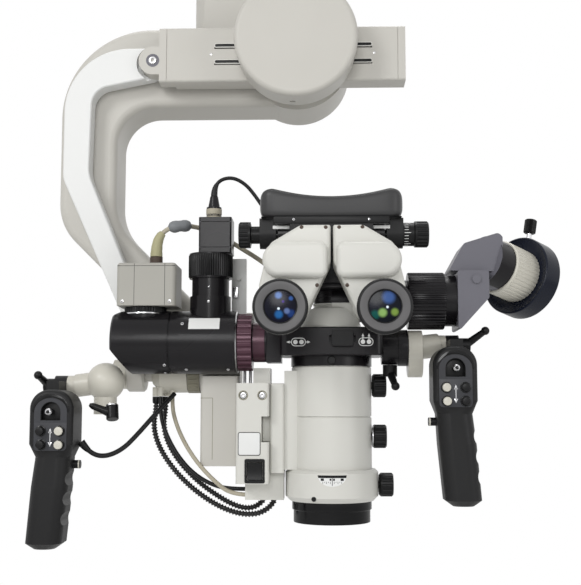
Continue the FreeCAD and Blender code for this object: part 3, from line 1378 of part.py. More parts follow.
def grip_section(x, y, z, width, depth, corner):
    """A rounded rectangle across the grip at one height."""
    half = width / 2
    deep = depth / 2
    points = [FreeCAD.Vector(x - half, y - deep, z), FreeCAD.Vector(x + half, y - deep, z),
              FreeCAD.Vector(x + half, y + deep, z), FreeCAD.Vector(x - half, y + deep, z)]
    return rounded_wire(points, [corner] * 4, True)


def make_handle(side):
    """One hand grip with its thumb pod, joystick, thumb buttons, side button and clamp lever."""
    left = side == "left"
    x = value_of(s.left_grip_x if left else s.right_grip_x)
    y = value_of(s.left_grip_y if left else s.right_grip_y)
    top = value_of(s.left_grip_top if left else s.right_grip_top)
    lean = math.tan(math.radians(value_of(s.grip_lean))) * (-1 if left else 1)
    pod = value_of(s.pod_height)
    length = value_of(s.grip_length)
    wide = value_of(s.grip_width)
    deep = value_of(s.grip_depth)
    pod_wide = value_of(s.grip_pod_width)
    pod_deep = value_of(s.grip_pod_depth)
    waist = top - pod - 5
    foot = top - length
    edge = value_of(s.pod_edge)
    arch_radius = value_of(s.pod_arch)
    shoulder = top - pod + 8
    head = plate([
        (x - pod_wide / 2, shoulder, 0), (x - pod_wide / 2, top, arch_radius),
        (x + pod_wide / 2, top, arch_radius), (x + pod_wide / 2, shoulder, 0),
    ], y - pod_deep / 2, y + pod_deep / 2)
    head = head.makeFillet(edge, edges_of(head, lambda line: abs(abs(line.CenterOfMass.y - y) - pod_deep / 2) < 0.01
                                          and line.CenterOfMass.z > shoulder + 0.1))
    sections = [
        (x, y, shoulder, pod_wide, pod_deep, edge), (x, y, waist, wide * 0.94, deep * 0.94, 13.0),
    ]
    body = head.fuse(Part.makeLoft([grip_section(*section) for section in sections], True, True))
    grip_rows = []
    for share in (0.0, 0.35, 0.7, 1.0):
        height = waist + (foot + 6 - waist) * share
        drift = lean * (waist - height)
        grip_rows.append((x + drift, y, height, wide * (1.0 - 0.04 * share), deep, 13.0))
    grip_rows[0] = sections[-1]
    end = grip_rows[-1]
    grip_rows.append((end[0] + lean * 6, y, foot, wide * 0.55, deep * 0.6, 9.0))
    body = body.fuse(Part.makeLoft([grip_section(*section) for section in grip_rows], True, True))
    for number in range(3):
        height = waist - 22 - 20 * number
        edge_x = x + lean * (waist - height) + wide / 2 + value_of(s.notch_radius - s.notch_depth)
        notch = Part.makeCylinder(value_of(s.notch_radius), deep + 20, FreeCAD.Vector(edge_x, y - deep / 2 - 10, height),
                                  FreeCAD.Vector(0, 1, 0))
        body = body.cut(notch)
    front = y - pod_deep / 2
    across = FreeCAD.Vector(0, 1, 0)
    stick_z = top - 22
    recess = value_of(s.pod_recess)
    half = value_of(s.pod_recess_radius)
    arch = Part.makeCylinder(half, recess + 1, FreeCAD.Vector(x, front - 1, stick_z), across)
    arch = arch.fuse(box_between(FreeCAD.Vector(x - half, front - 1, stick_z - half * 0.85),
                                 FreeCAD.Vector(x + half, front + recess, stick_z)))
    hinge_y = value_of(s.elbow_y) + 2
    hinge_z = top + (5.0 if left else 4.0)
    outward = -1 if left else 1
    lug_start = x - outward * 2
    lug = Part.makeCylinder(10.5, 13.0, FreeCAD.Vector(lug_start, hinge_y, hinge_z), FreeCAD.Vector(outward, 0, 0))
    strap = box_between(FreeCAD.Vector(min(lug_start, lug_start + outward * 13), y, top - 14),
                        FreeCAD.Vector(max(lug_start, lug_start + outward * 13), hinge_y, hinge_z + 4))
    body = body.fuse([lug, strap]).removeSplitter()
    hole = Part.makeCylinder(value_of(s.knob_stem_radius + s.running_gap), 30.0,
                             FreeCAD.Vector(lug_start - outward * 5, hinge_y, hinge_z), FreeCAD.Vector(outward, 0, 0))
    cuts = [arch, hole]
    buttons = []
    radius = value_of(s.thumb_button_radius)
    for dx, dz in ((-9.5, -41), (9.5, -41), (-9.0, -54.5), (9.5, -54.5)):
        spot = FreeCAD.Vector(x + dx, front, top + dz)
        cuts.append(Part.makeCylinder(radius + 0.15, 6.0, spot - across * 1, across))
        button = Part.makeCylinder(radius, 6.0, spot - across * value_of(s.thumb_button_height), across)
        buttons.append(button.makeFillet(0.8, [button.Edges[0]]))
    side_z = waist - 8
    side_x = x + (wide / 2 if left else -wide / 2)
    way = FreeCAD.Vector(1 if left else -1, 0, 0)
    side_spot = FreeCAD.Vector(side_x, y + 4, side_z)
    cuts.append(Part.makeCylinder(value_of(s.side_button_radius) + 0.15, 12.0, side_spot - way * 8, way))
    keep_shape("grip_" + side, body.cut(Part.makeCompound(cuts)))
    keep_shape("thumb_buttons_" + side, Part.makeCompound(buttons))
    button = Part.makeCylinder(value_of(s.side_button_radius), value_of(s.side_button_height) + 6, side_spot - way * 6, way)
    keep_shape("side_button_" + side, button)
    thick = value_of(s.joystick_radius)
    height = value_of(s.joystick_height)
    heart = FreeCAD.Vector(x, front + recess - thick - 0.3, stick_z)
    stick = Part.makeCone(thick * 0.7, thick, height, heart, -across)
    stick = stick.fuse([Part.makeSphere(thick, heart), Part.makeSphere(thick + 0.6, heart - across * height)])
    keep_shape("joystick_" + side, stick)
    lever_x = lug_start + outward * 13.3
    arm = FreeCAD.Vector(0.25 * outward, -1.0, 0.45) if left else FreeCAD.Vector(0.75, -0.3, 0.55)
    clamp_lever("clamp_lever_" + side, FreeCAD.Vector(lever_x, hinge_y, hinge_z), FreeCAD.Vector(outward, 0, 0), arm)
    return FreeCAD.Vector(lug_start, hinge_y, hinge_z), outward


def make_handles():
    """Both grips and the jointed arms that carry them."""
    left_hinge, outward = make_handle("left")
    elbow = vector(s.elbow_x, s.elbow_y, s.elbow_z)
    root_x = value_of(s.connector_left) - 0.3
    root = FreeCAD.Vector(root_x, value_of(s.tilt_y), value_of(s.tilt_z))
    toward = FreeCAD.Vector(-1, 0, 0)
    thick = value_of(s.arm_rod_radius)
    hub = Part.makeCylinder(16.0, 14.0, root, toward)
    reach = rod(root + toward * 14, elbow, thick)
    ball = Part.makeSphere(value_of(s.elbow_radius), elbow)
    end = left_hinge + FreeCAD.Vector(0.3, 0, 0)
    bar = rod(elbow, end + FreeCAD.Vector(9, 0, 0), thick)
    boss = Part.makeCylinder(10.5, 14.0, end, FreeCAD.Vector(1, 0, 0))
    pin = Part.makeCylinder(value_of(s.knob_stem_radius), 13.0, end + FreeCAD.Vector(1, 0, 0), toward)
    drop = Part.makeCylinder(12.0, 34.0, elbow, FreeCAD.Vector(0, 0, -1))
    keep_shape("handle_arm_left", hub.fuse([reach, ball, bar, boss, pin, drop]).removeSplitter())
    right_hinge, outward = make_handle("right")
    start = s.right_elbow_x
    centre = vector(start, s.tube_y, s.side_port_z)
    along_x = FreeCAD.Vector(1, 0, 0)
    thick = value_of(s.right_elbow_width)
    drop = FreeCAD.Vector(0, 0, value_of(s.right_elbow_drop))
    elbow_plate = Part.makeCylinder(value_of(s.right_elbow_radius), thick, centre, along_x)
    elbow_plate = elbow_plate.fuse(Part.makeCylinder(value_of(s.right_elbow_radius), thick, centre - drop, along_x))
    tip = right_hinge - along_x * 0.3
    bar = rod(centre + along_x * 8, tip - along_x * 8, value_of(s.right_arm_height) / 2)
    boss = Part.makeCylinder(10.5, 12.0, tip - along_x * 12, along_x)
    pin = Part.makeCylinder(value_of(s.knob_stem_radius), 13.0, tip - along_x * 1, along_x)
    keep_shape("handle_arm_right", elbow_plate.fuse([bar, boss, pin]).removeSplitter())


def make_port_lever():
    """Clamp lever under the right side port."""
    base = vector(s.splitter_left + s.splitter_width + s.side_port_length * 0.5, s.tube_y,
                  s.side_port_z - s.side_port_radius - 0.3)
    clamp_lever("port_clamp_lever", base, FreeCAD.Vector(0, 0, -1), FreeCAD.Vector(0.15, -0.75, -0.55))


def cord(label, route, radius):
    """A cord's tube: straight runs joined by tangent arcs as large as the runs allow."""
    points = [FreeCAD.Vector(*point) for point in route]
    radii = [0.0]
    for index in range(1, len(points) - 1):
        before = points[index - 1] - points[index]
        after = points[index + 1] - points[index]
        turn = math.pi - before.getAngle(after)
        radii.append(0.45 * min(before.Length, after.Length) / math.tan(turn / 2))
    radii.append(0.0)
    path = rounded_wire(points, radii, False)
    thick = value_of(radius)
    start = Part.Wire(Part.makeCircle(thick, points[0], points[1] - points[0]))
    tube = path.makePipeShell([start], True, False)
    expected = math.pi * thick * thick * path.Length
    print("%-18s length %6.1f volume share %.4f radii %s" % (
        label, path.Length, tube.Volume / expected, " ".join("%.0f" % size for size in radii[1:-1])))
    keep_shape(label, tube)


def make_cords():
    """Conduits and leads from the tilt housing to the slide, the left grip's cable and the camera leads."""
    for label, route, radius in (
            ("conduit_outer", CONDUIT_OUTER, s.conduit_radius), ("conduit_inner", CONDUIT_INNER, s.conduit_radius),
            ("lead_black", LEAD_BLACK, s.lead_radius), ("lead_beige", LEAD_BEIGE, s.lead_radius),
            ("handle_cable", HANDLE_CABLE, s.cable_radius), ("camera_cable", CAMERA_CABLE, s.camera_cable_radius),
            ("camera_box_cable", BOX_CABLE, s.cable_radius)):
        cord(label, route, radius)


def export_all():
    """Checks every object and sub-part, then writes one file for each sub-part."""
    DOC.recompute()
    for item in DOC.Objects:
        wrong = [state for state in item.State if state in ("Invalid", "Error")]
        if wrong:
            raise RuntimeError("%s of %s is %s" % (item.Name, item.Label, wrong))
    os.makedirs("parts", exist_ok=True)
    for label in LABELS:
        item = DOC.getObjectsByLabel(label)[0]
        shape = item.Shape
        if shape.isNull() or not shape.isValid():
            raise RuntimeError("bad shape on " + label)
        shape.exportStep("parts/%s.step" % label)
        print("%-20s %2d solids %10.0f mm3" % (label, len(shape.Solids), shape.Volume))


BUILDERS = (
    make_mount_flange, make_c_arm, make_balance_rail, make_drum, make_parallel_link, make_carrier,
    make_tilt_joint, make_tilt_column, make_slide, make_body, make_beam_splitter, make_binocular,
    make_pd_knobs, make_prisms, make_left_ports, make_assistant_side, make_handles, make_port_lever, make_cords,
)
for build in BUILDERS:
    build()
export_all()
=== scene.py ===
"""Looks for an overhead surgical microscope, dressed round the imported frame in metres."""

import json
import logging
import math
from dataclasses import dataclass
from enum import Enum

import bmesh
import bpy
import numpy as np
from mathutils import Euler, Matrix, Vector

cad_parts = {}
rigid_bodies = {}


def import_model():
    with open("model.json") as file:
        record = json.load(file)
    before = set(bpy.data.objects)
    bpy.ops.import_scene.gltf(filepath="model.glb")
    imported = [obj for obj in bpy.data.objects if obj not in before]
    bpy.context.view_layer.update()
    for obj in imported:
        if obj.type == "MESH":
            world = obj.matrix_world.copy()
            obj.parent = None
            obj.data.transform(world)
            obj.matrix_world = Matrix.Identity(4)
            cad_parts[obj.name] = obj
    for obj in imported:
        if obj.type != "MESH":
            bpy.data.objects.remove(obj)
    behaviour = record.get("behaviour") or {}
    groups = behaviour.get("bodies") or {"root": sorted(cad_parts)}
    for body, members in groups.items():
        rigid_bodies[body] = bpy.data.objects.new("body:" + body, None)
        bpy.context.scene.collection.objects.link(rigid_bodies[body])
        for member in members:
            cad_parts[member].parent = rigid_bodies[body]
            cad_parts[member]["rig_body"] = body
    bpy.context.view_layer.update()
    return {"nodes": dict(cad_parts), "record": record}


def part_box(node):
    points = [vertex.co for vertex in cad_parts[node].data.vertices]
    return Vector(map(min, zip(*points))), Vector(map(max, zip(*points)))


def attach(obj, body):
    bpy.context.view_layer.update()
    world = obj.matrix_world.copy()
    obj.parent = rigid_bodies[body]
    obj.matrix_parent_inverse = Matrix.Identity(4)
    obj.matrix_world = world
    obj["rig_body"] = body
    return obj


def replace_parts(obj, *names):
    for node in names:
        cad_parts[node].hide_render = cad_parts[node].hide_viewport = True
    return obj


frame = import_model()
LOG = logging.getLogger("microscope")
MM = 0.001
Point = tuple[float, float, float]


class Slot(Enum):
    """The record's material slots, one for each finish of the real microscope."""

    FLANGE_METAL = "flange_metal"
    WARM_GREY_PAINT = "warm_grey_paint"
    NEAR_WHITE_PAINT = "near_white_paint"
    WARM_WHITE_PAINT = "warm_white_paint"
    OLIVE_GREY_PLASTIC = "olive_grey_plastic"
    BLACK_ANODISED = "black_anodised"
    PLUM_ANODISED = "plum_anodised"
    SLATE_PAINT = "slate_paint"
    DARK_BLUE_BLACK = "dark_blue_black"
    BLACK_PLASTIC = "black_plastic"
    CREAM_PLASTIC = "cream_plastic"
    GREY_BEIGE_PLASTIC = "grey_beige_plastic"
    BLACK_RUBBER = "black_rubber"
    GREY_RUBBER = "grey_rubber"
    BEIGE_RUBBER = "beige_rubber"
    COATED_GLASS = "coated_glass"


class Extra(Enum):
    """Finishes of small pieces that differ from their slot's own."""

    BROWN_PLASTIC = "brown_plastic"
    EYE_RUBBER = "eye_rubber"
    CONDUIT_RUBBER = "conduit_rubber"
    PANEL_GREY = "panel_grey"
    GLOSS_BLACK = "gloss_black"
    FERRITE_GREY = "ferrite_grey"
    BOOT_BEIGE = "boot_beige"
    PAD_RUBBER = "pad_rubber"


FLOAT, COLOUR = "NodeSocketFloat", "NodeSocketColor"
MIX_FIRST, MIX_SECOND, MIX_RESULT = 6, 7, 2  # a Mix node's colour sockets


def new_group(name: str, inputs: dict[str, float | None], outputs: dict[str, str]) -> tuple:
    """Makes an empty shader node group with named sockets.

    Args:
        name: name of the group.
        inputs: socket name to its starting value, or to None for a colour.
        outputs: socket name to its type.

    Returns:
        The group, its input node and its output node.
    """
    group = bpy.data.node_groups.new(name, "ShaderNodeTree")
    for label, value in inputs.items():
        socket = group.interface.new_socket(label, in_out="INPUT", socket_type=COLOUR if value is None else FLOAT)
        if value is not None:
            socket.default_value = value
    for label, kind in outputs.items():
        group.interface.new_socket(label, in_out="OUTPUT", socket_type=kind)
    return group, group.nodes.new("NodeGroupInput"), group.nodes.new("NodeGroupOutput")


def add_node(tree: bpy.types.NodeTree, kind: str, values: dict | None = None, **fields) -> bpy.types.Node:
    """Adds a shader node, sets its fields and then the values of its inputs."""
    node = tree.nodes.new("ShaderNode" + kind)
    for label, value in fields.items():
        setattr(node, label, value)
    for socket, value in (values or {}).items():
        node.inputs[socket].default_value = value
    return node


def add_group(tree: bpy.types.NodeTree, name: str, values: dict) -> bpy.types.Node:
    """Adds one of the shared groups with its values."""
    return add_node(tree, "Group", values, node_tree=bpy.data.node_groups[name])


def wire(tree: bpy.types.NodeTree, *joints: tuple) -> None:
    """Links sockets; each joint is a node, its output, the next node and its input."""
    for source, output, target, socket in joints:
        tree.links.new(source.outputs[output], target.inputs[socket])


def new_material(name: str, values: dict) -> tuple:
    """Makes a material, and returns it with its node tree and its shader, which has the values."""
    material = bpy.data.materials.new(name)
    material.use_nodes = True
    shader = material.node_tree.nodes["Principled BSDF"]
    for socket, value in values.items():
        shader.inputs[socket].default_value = value
    return material, material.node_tree, shader


def grain_group() -> None:
    """Fine surface texture: two sizes of noise on the object's own coordinates, mixed into one height."""
    group, entry, result = new_group("surface_grain", {"Scale": 900.0, "Coarse": 0.3}, {"Height": FLOAT})
    place = add_node(group, "TexCoord")
    fine = add_node(group, "TexNoise", {"Detail": 2.0})
    wide = add_node(group, "TexNoise", {"Scale": 60.0, "Detail": 1.0})
    mix = add_node(group, "Mix")
    wire(group, (place, "Object", fine, "Vector"), (place, "Object", wide, "Vector"), (entry, "Scale", fine, "Scale"),
         (entry, "Coarse", mix, "Factor"), (fine, "Fac", mix, "A"), (wide, "Fac", mix, "B"),
         (mix, "Result", result, "Height"))


def drift_group() -> None:
    """Slow drift of tone over a surface: wide soft noise that pulls a colour a little towards a second one."""
    group, entry, result = new_group("tone_drift", {"Amount": 0.3, "Scale": 9.0, "Base": None, "Second": None},
                                     {"Color": COLOUR, "Drift": FLOAT})
    place = add_node(group, "TexCoord")
    noise = add_node(group, "TexNoise", {"Detail": 3.0, "Roughness": 0.45})
    spread = add_node(group, "MapRange", {"From Min": 0.35, "From Max": 0.72})
    scaled = add_node(group, "Math", operation="MULTIPLY")
    mix = add_node(group, "Mix", data_type="RGBA")
    wire(group, (place, "Object", noise, "Vector"), (entry, "Scale", noise, "Scale"), (noise, "Fac", spread, "Value"),
         (spread, "Result", scaled, 0), (entry, "Amount", scaled, 1), (scaled, "Value", mix, "Factor"),
         (entry, "Base", mix, MIX_FIRST), (entry, "Second", mix, MIX_SECOND), (mix, MIX_RESULT, result, "Color"),
         (spread, "Result", result, "Drift"))


def reflection_spot_group() -> None:
    """One soft round painted reflection on a lens: mask = 1 inside the radius, falling softly to 0 at its edge, all in
    metres.
    """
    group, entry, result = new_group("painted_reflection_spot", {"X": 0.0, "Z": 0.0, "Radius": 0.004}, {"Mask": FLOAT})
    place, parts = add_node(group, "TexCoord"), add_node(group, "SeparateXYZ")
    middle, here = add_node(group, "CombineXYZ"), add_node(group, "CombineXYZ")
    apart = add_node(group, "VectorMath", operation="DISTANCE")
    share = add_node(group, "Math", operation="DIVIDE")
    fall = add_node(group, "MapRange", {"From Min": 0.4, "From Max": 1.1, "To Min": 1.0, "To Max": 0.0},
                    interpolation_type="SMOOTHSTEP")
    wire(group, (place, "Object", parts, 0), (parts, "X", here, "X"), (parts, "Z", here, "Z"),
         (entry, "X", middle, "X"), (entry, "Z", middle, "Z"), (here, "Vector", apart, 0), (middle, "Vector", apart, 1),
         (apart, "Value", share, 0), (entry, "Radius", share, 1), (share, "Value", fall, "Value"),
         (fall, "Result", result, "Mask"))


@dataclass(frozen=True)
class Finish:
    """One finish: its colour, gloss and fine texture."""

    kind: "Slot | Extra"
    colour: Point
    second: Point
    roughness: float
    metallic: float = 0.0
    coat: float = 0.0
    specular: float = 0.5
    grain_scale: float = 1400.0
    grain_depth: float = 0.00002

    def make(self) -> bpy.types.Material:
        """Builds the material, whose colour, roughness and bump come from nodes."""
        material, tree, shader = new_material(self.kind.value, {
            "Metallic": self.metallic, "Coat Weight": self.coat, "Coat Roughness": 0.12,
            "Specular IOR Level": self.specular})
        tone = add_group(tree, "tone_drift", {
            "Amount": 0.35, "Scale": 9.0, "Base": (*self.colour, 1.0), "Second": (*self.second, 1.0)})
        grain = add_group(tree, "surface_grain", {"Scale": self.grain_scale, "Coarse": 0.2})
        rough = add_node(tree, "MapRange", {"To Min": self.roughness - 0.04, "To Max": self.roughness + 0.07})
        bump = add_node(tree, "Bump", {"Distance": self.grain_depth, "Strength": 0.6})
        wire(tree, (tone, "Color", shader, "Base Color"), (tone, "Drift", rough, "Value"),
             (rough, "Result", shader, "Roughness"), (grain, "Height", bump, "Height"),
             (bump, "Normal", shader, "Normal"))
        return material


FINISHES: tuple[Finish, ...] = (
    Finish(Slot.FLANGE_METAL, (0.62, 0.62, 0.63), (0.50, 0.50, 0.52), 0.26, metallic=1.0, grain_scale=700.0),
    Finish(Slot.WARM_GREY_PAINT, (0.53, 0.515, 0.475), (0.485, 0.47, 0.43), 0.42, specular=0.35),
    Finish(Slot.NEAR_WHITE_PAINT, (0.755, 0.76, 0.75), (0.71, 0.715, 0.705), 0.36, specular=0.35),
    Finish(Slot.WARM_WHITE_PAINT, (0.625, 0.62, 0.58), (0.585, 0.58, 0.54), 0.32, specular=0.35),
    Finish(Slot.OLIVE_GREY_PLASTIC, (0.26, 0.245, 0.185), (0.20, 0.19, 0.14), 0.48, specular=0.35),
    Finish(Slot.BLACK_ANODISED, (0.0075, 0.0068, 0.008), (0.013, 0.0115, 0.014), 0.27, specular=0.22),
    Finish(Slot.PLUM_ANODISED, (0.060, 0.020, 0.034), (0.085, 0.032, 0.050), 0.27, metallic=0.35, specular=0.5),
    Finish(Slot.SLATE_PAINT, (0.130, 0.128, 0.150), (0.110, 0.108, 0.130), 0.38, specular=0.35),
    Finish(Slot.DARK_BLUE_BLACK, (0.0045, 0.0065, 0.014), (0.008, 0.011, 0.024), 0.24, specular=0.2),
    Finish(Slot.BLACK_PLASTIC, (0.0065, 0.0065, 0.007), (0.011, 0.011, 0.0115), 0.34, specular=0.2,
           grain_depth=0.00004),
    Finish(Slot.CREAM_PLASTIC, (0.60, 0.58, 0.51), (0.545, 0.525, 0.46), 0.34, coat=0.1, specular=0.35),
    Finish(Slot.GREY_BEIGE_PLASTIC, (0.38, 0.37, 0.335), (0.34, 0.33, 0.30), 0.50, specular=0.3,
           grain_depth=0.00005),
    Finish(Slot.BLACK_RUBBER, (0.0085, 0.0085, 0.009), (0.017, 0.017, 0.0175), 0.42, specular=0.22,
           grain_depth=0.00006),
    Finish(Slot.GREY_RUBBER, (0.040, 0.038, 0.038), (0.028, 0.027, 0.027), 0.46, specular=0.4,
           grain_depth=0.00005),
    Finish(Slot.BEIGE_RUBBER, (0.42, 0.385, 0.30), (0.36, 0.33, 0.255), 0.50, specular=0.3,
           grain_depth=0.00004),
    Finish(Extra.BROWN_PLASTIC, (0.075, 0.052, 0.040), (0.05, 0.036, 0.028), 0.45, specular=0.25),
    Finish(Extra.EYE_RUBBER, (0.115, 0.113, 0.115), (0.095, 0.093, 0.095), 0.50, specular=0.25),
    Finish(Extra.CONDUIT_RUBBER, (0.012, 0.0115, 0.012), (0.02, 0.019, 0.02), 0.24, specular=0.45),
    Finish(Extra.PANEL_GREY, (0.040, 0.041, 0.047), (0.030, 0.031, 0.036), 0.36, specular=0.3),
    Finish(Extra.GLOSS_BLACK, (0.004, 0.004, 0.0045), (0.008, 0.008, 0.0085), 0.16, specular=0.26),
    Finish(Extra.FERRITE_GREY, (0.19, 0.20, 0.21), (0.16, 0.17, 0.18), 0.42, specular=0.35),
    Finish(Extra.PAD_RUBBER, (0.036, 0.036, 0.037), (0.052, 0.052, 0.053), 0.40, specular=0.3, grain_depth=0.00006),
    Finish(Extra.BOOT_BEIGE, (0.40, 0.38, 0.23), (0.33, 0.31, 0.18), 0.50, specular=0.3, grain_depth=0.00005),
)


def glass_with_painted_reflections(name: str, centre: Point, tone: Point,
                 spots: tuple[tuple[float, float, float, Point], ...]) -> bpy.types.Material:
    """Coated lens glass: a dark tone with painted reflections, soft coloured spots and white highlights mixed into its
    colour at set places on the lens.

    Args:
        name: name of the material.
        centre: the lens' middle in millimetres.
        tone: colour of the dark glass.
        spots: place across and up from the middle and radius, in millimetres, and colour of each painted reflection.

    Returns:
        The material.
    """
    material, tree, shader = new_material(name, {
        "Roughness": 0.2, "Coat Weight": 0.06, "Coat Roughness": 0.15, "Specular IOR Level": 0.12})
    last, output = add_group(tree, "tone_drift", {
        "Amount": 0.8, "Scale": 60.0, "Base": (*tone, 1.0),
        "Second": (tone[0] * 2.5, tone[1] * 1.5, tone[2] * 2.2, 1.0)}), "Color"
    # each spot is a reflection painted into the glass colour, mixed over the dark tone
    for across, up, radius, shade in spots:
        spot = add_group(tree, "painted_reflection_spot", {
            "X": (centre[0] + across) * MM, "Z": (centre[2] + up) * MM, "Radius": radius * MM})
        mix = add_node(tree, "Mix", {MIX_SECOND: (*shade, 1.0)}, data_type="RGBA")
        wire(tree, (spot, "Mask", mix, "Factor"), (last, output, mix, MIX_FIRST))
        last, output = mix, MIX_RESULT
    wire(tree, (last, output, shader, "Base Color"))
    return material


class Paintbox:
    """Every material of the scene, made once."""

    def __init__(self) -> None:
        """Builds the shared groups, then each finish."""
        grain_group()
        drift_group()
        reflection_spot_group()
        self.made: dict[Slot | Extra, bpy.types.Material] = {finish.kind: finish.make() for finish in FINISHES}
        # the objective lens gets one bluish reflection painted into its colour
        self.made[Slot.COATED_GLASS] = glass_with_painted_reflections(Slot.COATED_GLASS.value, (104.0, -90.0, -634.0),
                                                    (0.008, 0.014, 0.03), ((6.0, 2.0, 9.0, (0.03, 0.08, 0.16)),))

    def put(self, piece: bpy.types.Object, kind: Slot | Extra) -> None:
        """Gives a piece one finish over its whole surface."""
        piece.data.materials.clear()
        piece.data.materials.append(self.made[kind])

    def put_by_side(self, piece: bpy.types.Object, kind: Slot | Extra, way: Point, limit: float) -> None:
        """Gives a second finish to the faces whose normal has more than the limit along the way given."""
        piece.data.materials.append(self.made[kind])
        count = len(piece.data.polygons)
        normals, numbers = np.zeros(count * 3), np.zeros(count, int)
        piece.data.polygons.foreach_get("normal", normals)
        numbers[normals.reshape(-1, 3) @ np.asarray(way, float) > limit] = 1
        piece.data.polygons.foreach_set("material_index", numbers)


PAINT = Paintbox()


def link_object(name: str, data: bpy.types.ID) -> bpy.types.Object:
    """Puts data into a new object of the scene."""
    piece = bpy.data.objects.new(name, data)
    bpy.context.scene.collection.objects.link(piece)
    return piece


def mesh_piece(name: str, corners: np.ndarray, faces: list[list[int]], smooth: bool = True) -> bpy.types.Object:
    """Puts corners and faces into a new mesh object at the origin, with no doubled corners and outward faces.

    Args:
        name: the piece's name.
        corners: an (n, 3) array in metres.
        faces: lists of corner numbers.
        smooth: whether the faces are shaded smooth.

    Returns:
        The new object.
    """
    mesh = bpy.data.meshes.new(name)
    mesh.from_pydata(np.asarray(corners, float).tolist(), [], faces)
    mesh.polygons.foreach_set("use_smooth", [smooth] * len(mesh.polygons))
    mesh.validate()
    piece = link_object(name, mesh)
    work = bmesh.new()
    work.from_mesh(mesh)
    bmesh.ops.remove_doubles(work, verts=work.verts, dist=1e-6)
    bmesh.ops.recalc_face_normals(work, faces=work.faces)
    work.to_mesh(mesh)
    work.free()
    if smooth:
        mesh.set_sharp_from_angle(angle=math.radians(36))
    return piece


def strip_faces(rows: int, columns: int, wrap: bool = True) -> np.ndarray:
    """Quads that join a grid of rows and columns; the columns close on themselves where wrap is set.

    Args:
        rows: number of rings.
        columns: points in each ring.
        wrap: whether the last column joins the first.

    Returns:
        An (m, 4) array of corner numbers.
    """
    last = columns if wrap else columns - 1
    row, column = np.meshgrid(np.arange(rows - 1), np.arange(last), indexing="ij")
    row, column = row.ravel(), column.ravel()
    following = (column + 1) % columns
    return np.stack([row * columns + column, row * columns + following,
                     (row + 1) * columns + following, (row + 1) * columns + column], axis=1)


def closed_faces(rows: int, columns: int) -> list[list[int]]:
    """The quads of a stack of rings, with a face over its first and its last ring."""
    return strip_faces(rows, columns).tolist() + [
        list(range(columns)), list(range((rows - 1) * columns, rows * columns))]


def frame_of(direction: Point) -> tuple[np.ndarray, np.ndarray, np.ndarray]:
    """Two unit vectors square to a direction, and the direction itself as a unit vector."""
    along = np.asarray(direction, float)
    along = along / np.linalg.norm(along)
    helper = np.array([0.0, 0.0, 1.0]) if abs(along[2]) < 0.9 else np.array([1.0, 0.0, 0.0])
    side = np.cross(helper, along)
    side = side / np.linalg.norm(side)
    return side, np.cross(along, side), along


def turned_grid(profile: list[tuple[float, float]], centre: Point, direction: Point, steps: int = 72,
                ripple: tuple[int, float] = (0, 0.0), rippled: tuple[float, float] = (1.0, 0.0)) -> np.ndarray:
    """Corners of a turned surface: point = centre + along * direction + radius * (cos u * side + sin u * up).

    A ripple adds depth * clip(1.6 cos(count * u), -1, 1) to the radius of the rows whose place lies in the
    rippled span.

    Args:
        profile: pairs of radius and place along the axis, in millimetres.
        centre: the axis' starting point in millimetres.
        direction: the axis' direction.
        steps: points round the axis.
        ripple: how many flutes and how deep, in millimetres.
        rippled: the span along the axis that carries them.

    Returns:
        An (rows * steps, 3) array in millimetres.
    """
    side, up, along = frame_of(direction)
    radius, place = np.asarray(profile, float).T
    angle = np.linspace(0, 2 * math.pi, steps, endpoint=False)
    inside = ((place >= rippled[0]) & (place <= rippled[1])).astype(float)
    wave = ripple[1] * np.clip(np.cos(ripple[0] * angle) * 1.6, -1, 1)
    reach = radius[:, None] + inside[:, None] * wave[None, :]
    points = (np.asarray(centre, float)[None, None, :] + place[:, None, None] * along
              + reach[:, :, None] * (np.cos(angle)[None, :, None] * side + np.sin(angle)[None, :, None] * up))
    return points.reshape(-1, 3)


def rounded_outline(points: list[tuple[float, float, float]], steps: int = 6) -> np.ndarray:
    """A flat outline with round corners: each corner becomes an arc tangent to both its sides.

    Args:
        points: corner places and the radius of each, in millimetres.
        steps: points on each arc.

    Returns:
        An (n, 2) array.
    """
    data = np.asarray(points, float)
    place, radius = data[:, :2], np.maximum(data[:, 2], 0.05)
    before = np.roll(place, 1, axis=0) - place
    after = np.roll(place, -1, axis=0) - place
    long_before = np.linalg.norm(before, axis=1)
    long_after = np.linalg.norm(after, axis=1)
    before, after = before / long_before[:, None], after / long_after[:, None]
    half = np.arccos(np.clip(np.sum(before * after, axis=1), -0.9999, 0.9999)) / 2
    reach = np.minimum(radius / np.tan(half), 0.48 * np.minimum(long_before, long_after))
    radius = reach * np.tan(half)
    middle = before + after
    centre = place + middle / np.linalg.norm(middle, axis=1)[:, None] * (radius / np.sin(half))[:, None]
    enter, leave = place + before * reach[:, None], place + after * reach[:, None]
    start = np.arctan2(*(enter - centre).T[::-1])
    turn = np.arctan2(*(leave - centre).T[::-1]) - start
    turn = (turn + math.pi) % (2 * math.pi) - math.pi
    angle = start[:, None] + turn[:, None] * np.linspace(0, 1, steps)[None, :]
    arcs = centre[:, None, :] + radius[:, None, None] * np.stack([np.cos(angle), np.sin(angle)], axis=2)
    return arcs.reshape(-1, 2)


def outline_inset(outline: np.ndarray, amount: float) -> np.ndarray:
    """The outline moved inwards along its own normals by the amount."""
    ahead = np.roll(outline, -1, axis=0) - np.roll(outline, 1, axis=0)
    normal = np.stack([-ahead[:, 1], ahead[:, 0]], axis=1)
    normal /= np.maximum(np.linalg.norm(normal, axis=1), 1e-9)[:, None]
    area = np.sum(outline[:, 0] * np.roll(outline[:, 1], -1) - outline[:, 1] * np.roll(outline[:, 0], -1))
    return outline + normal * amount * (1.0 if area > 0 else -1.0)


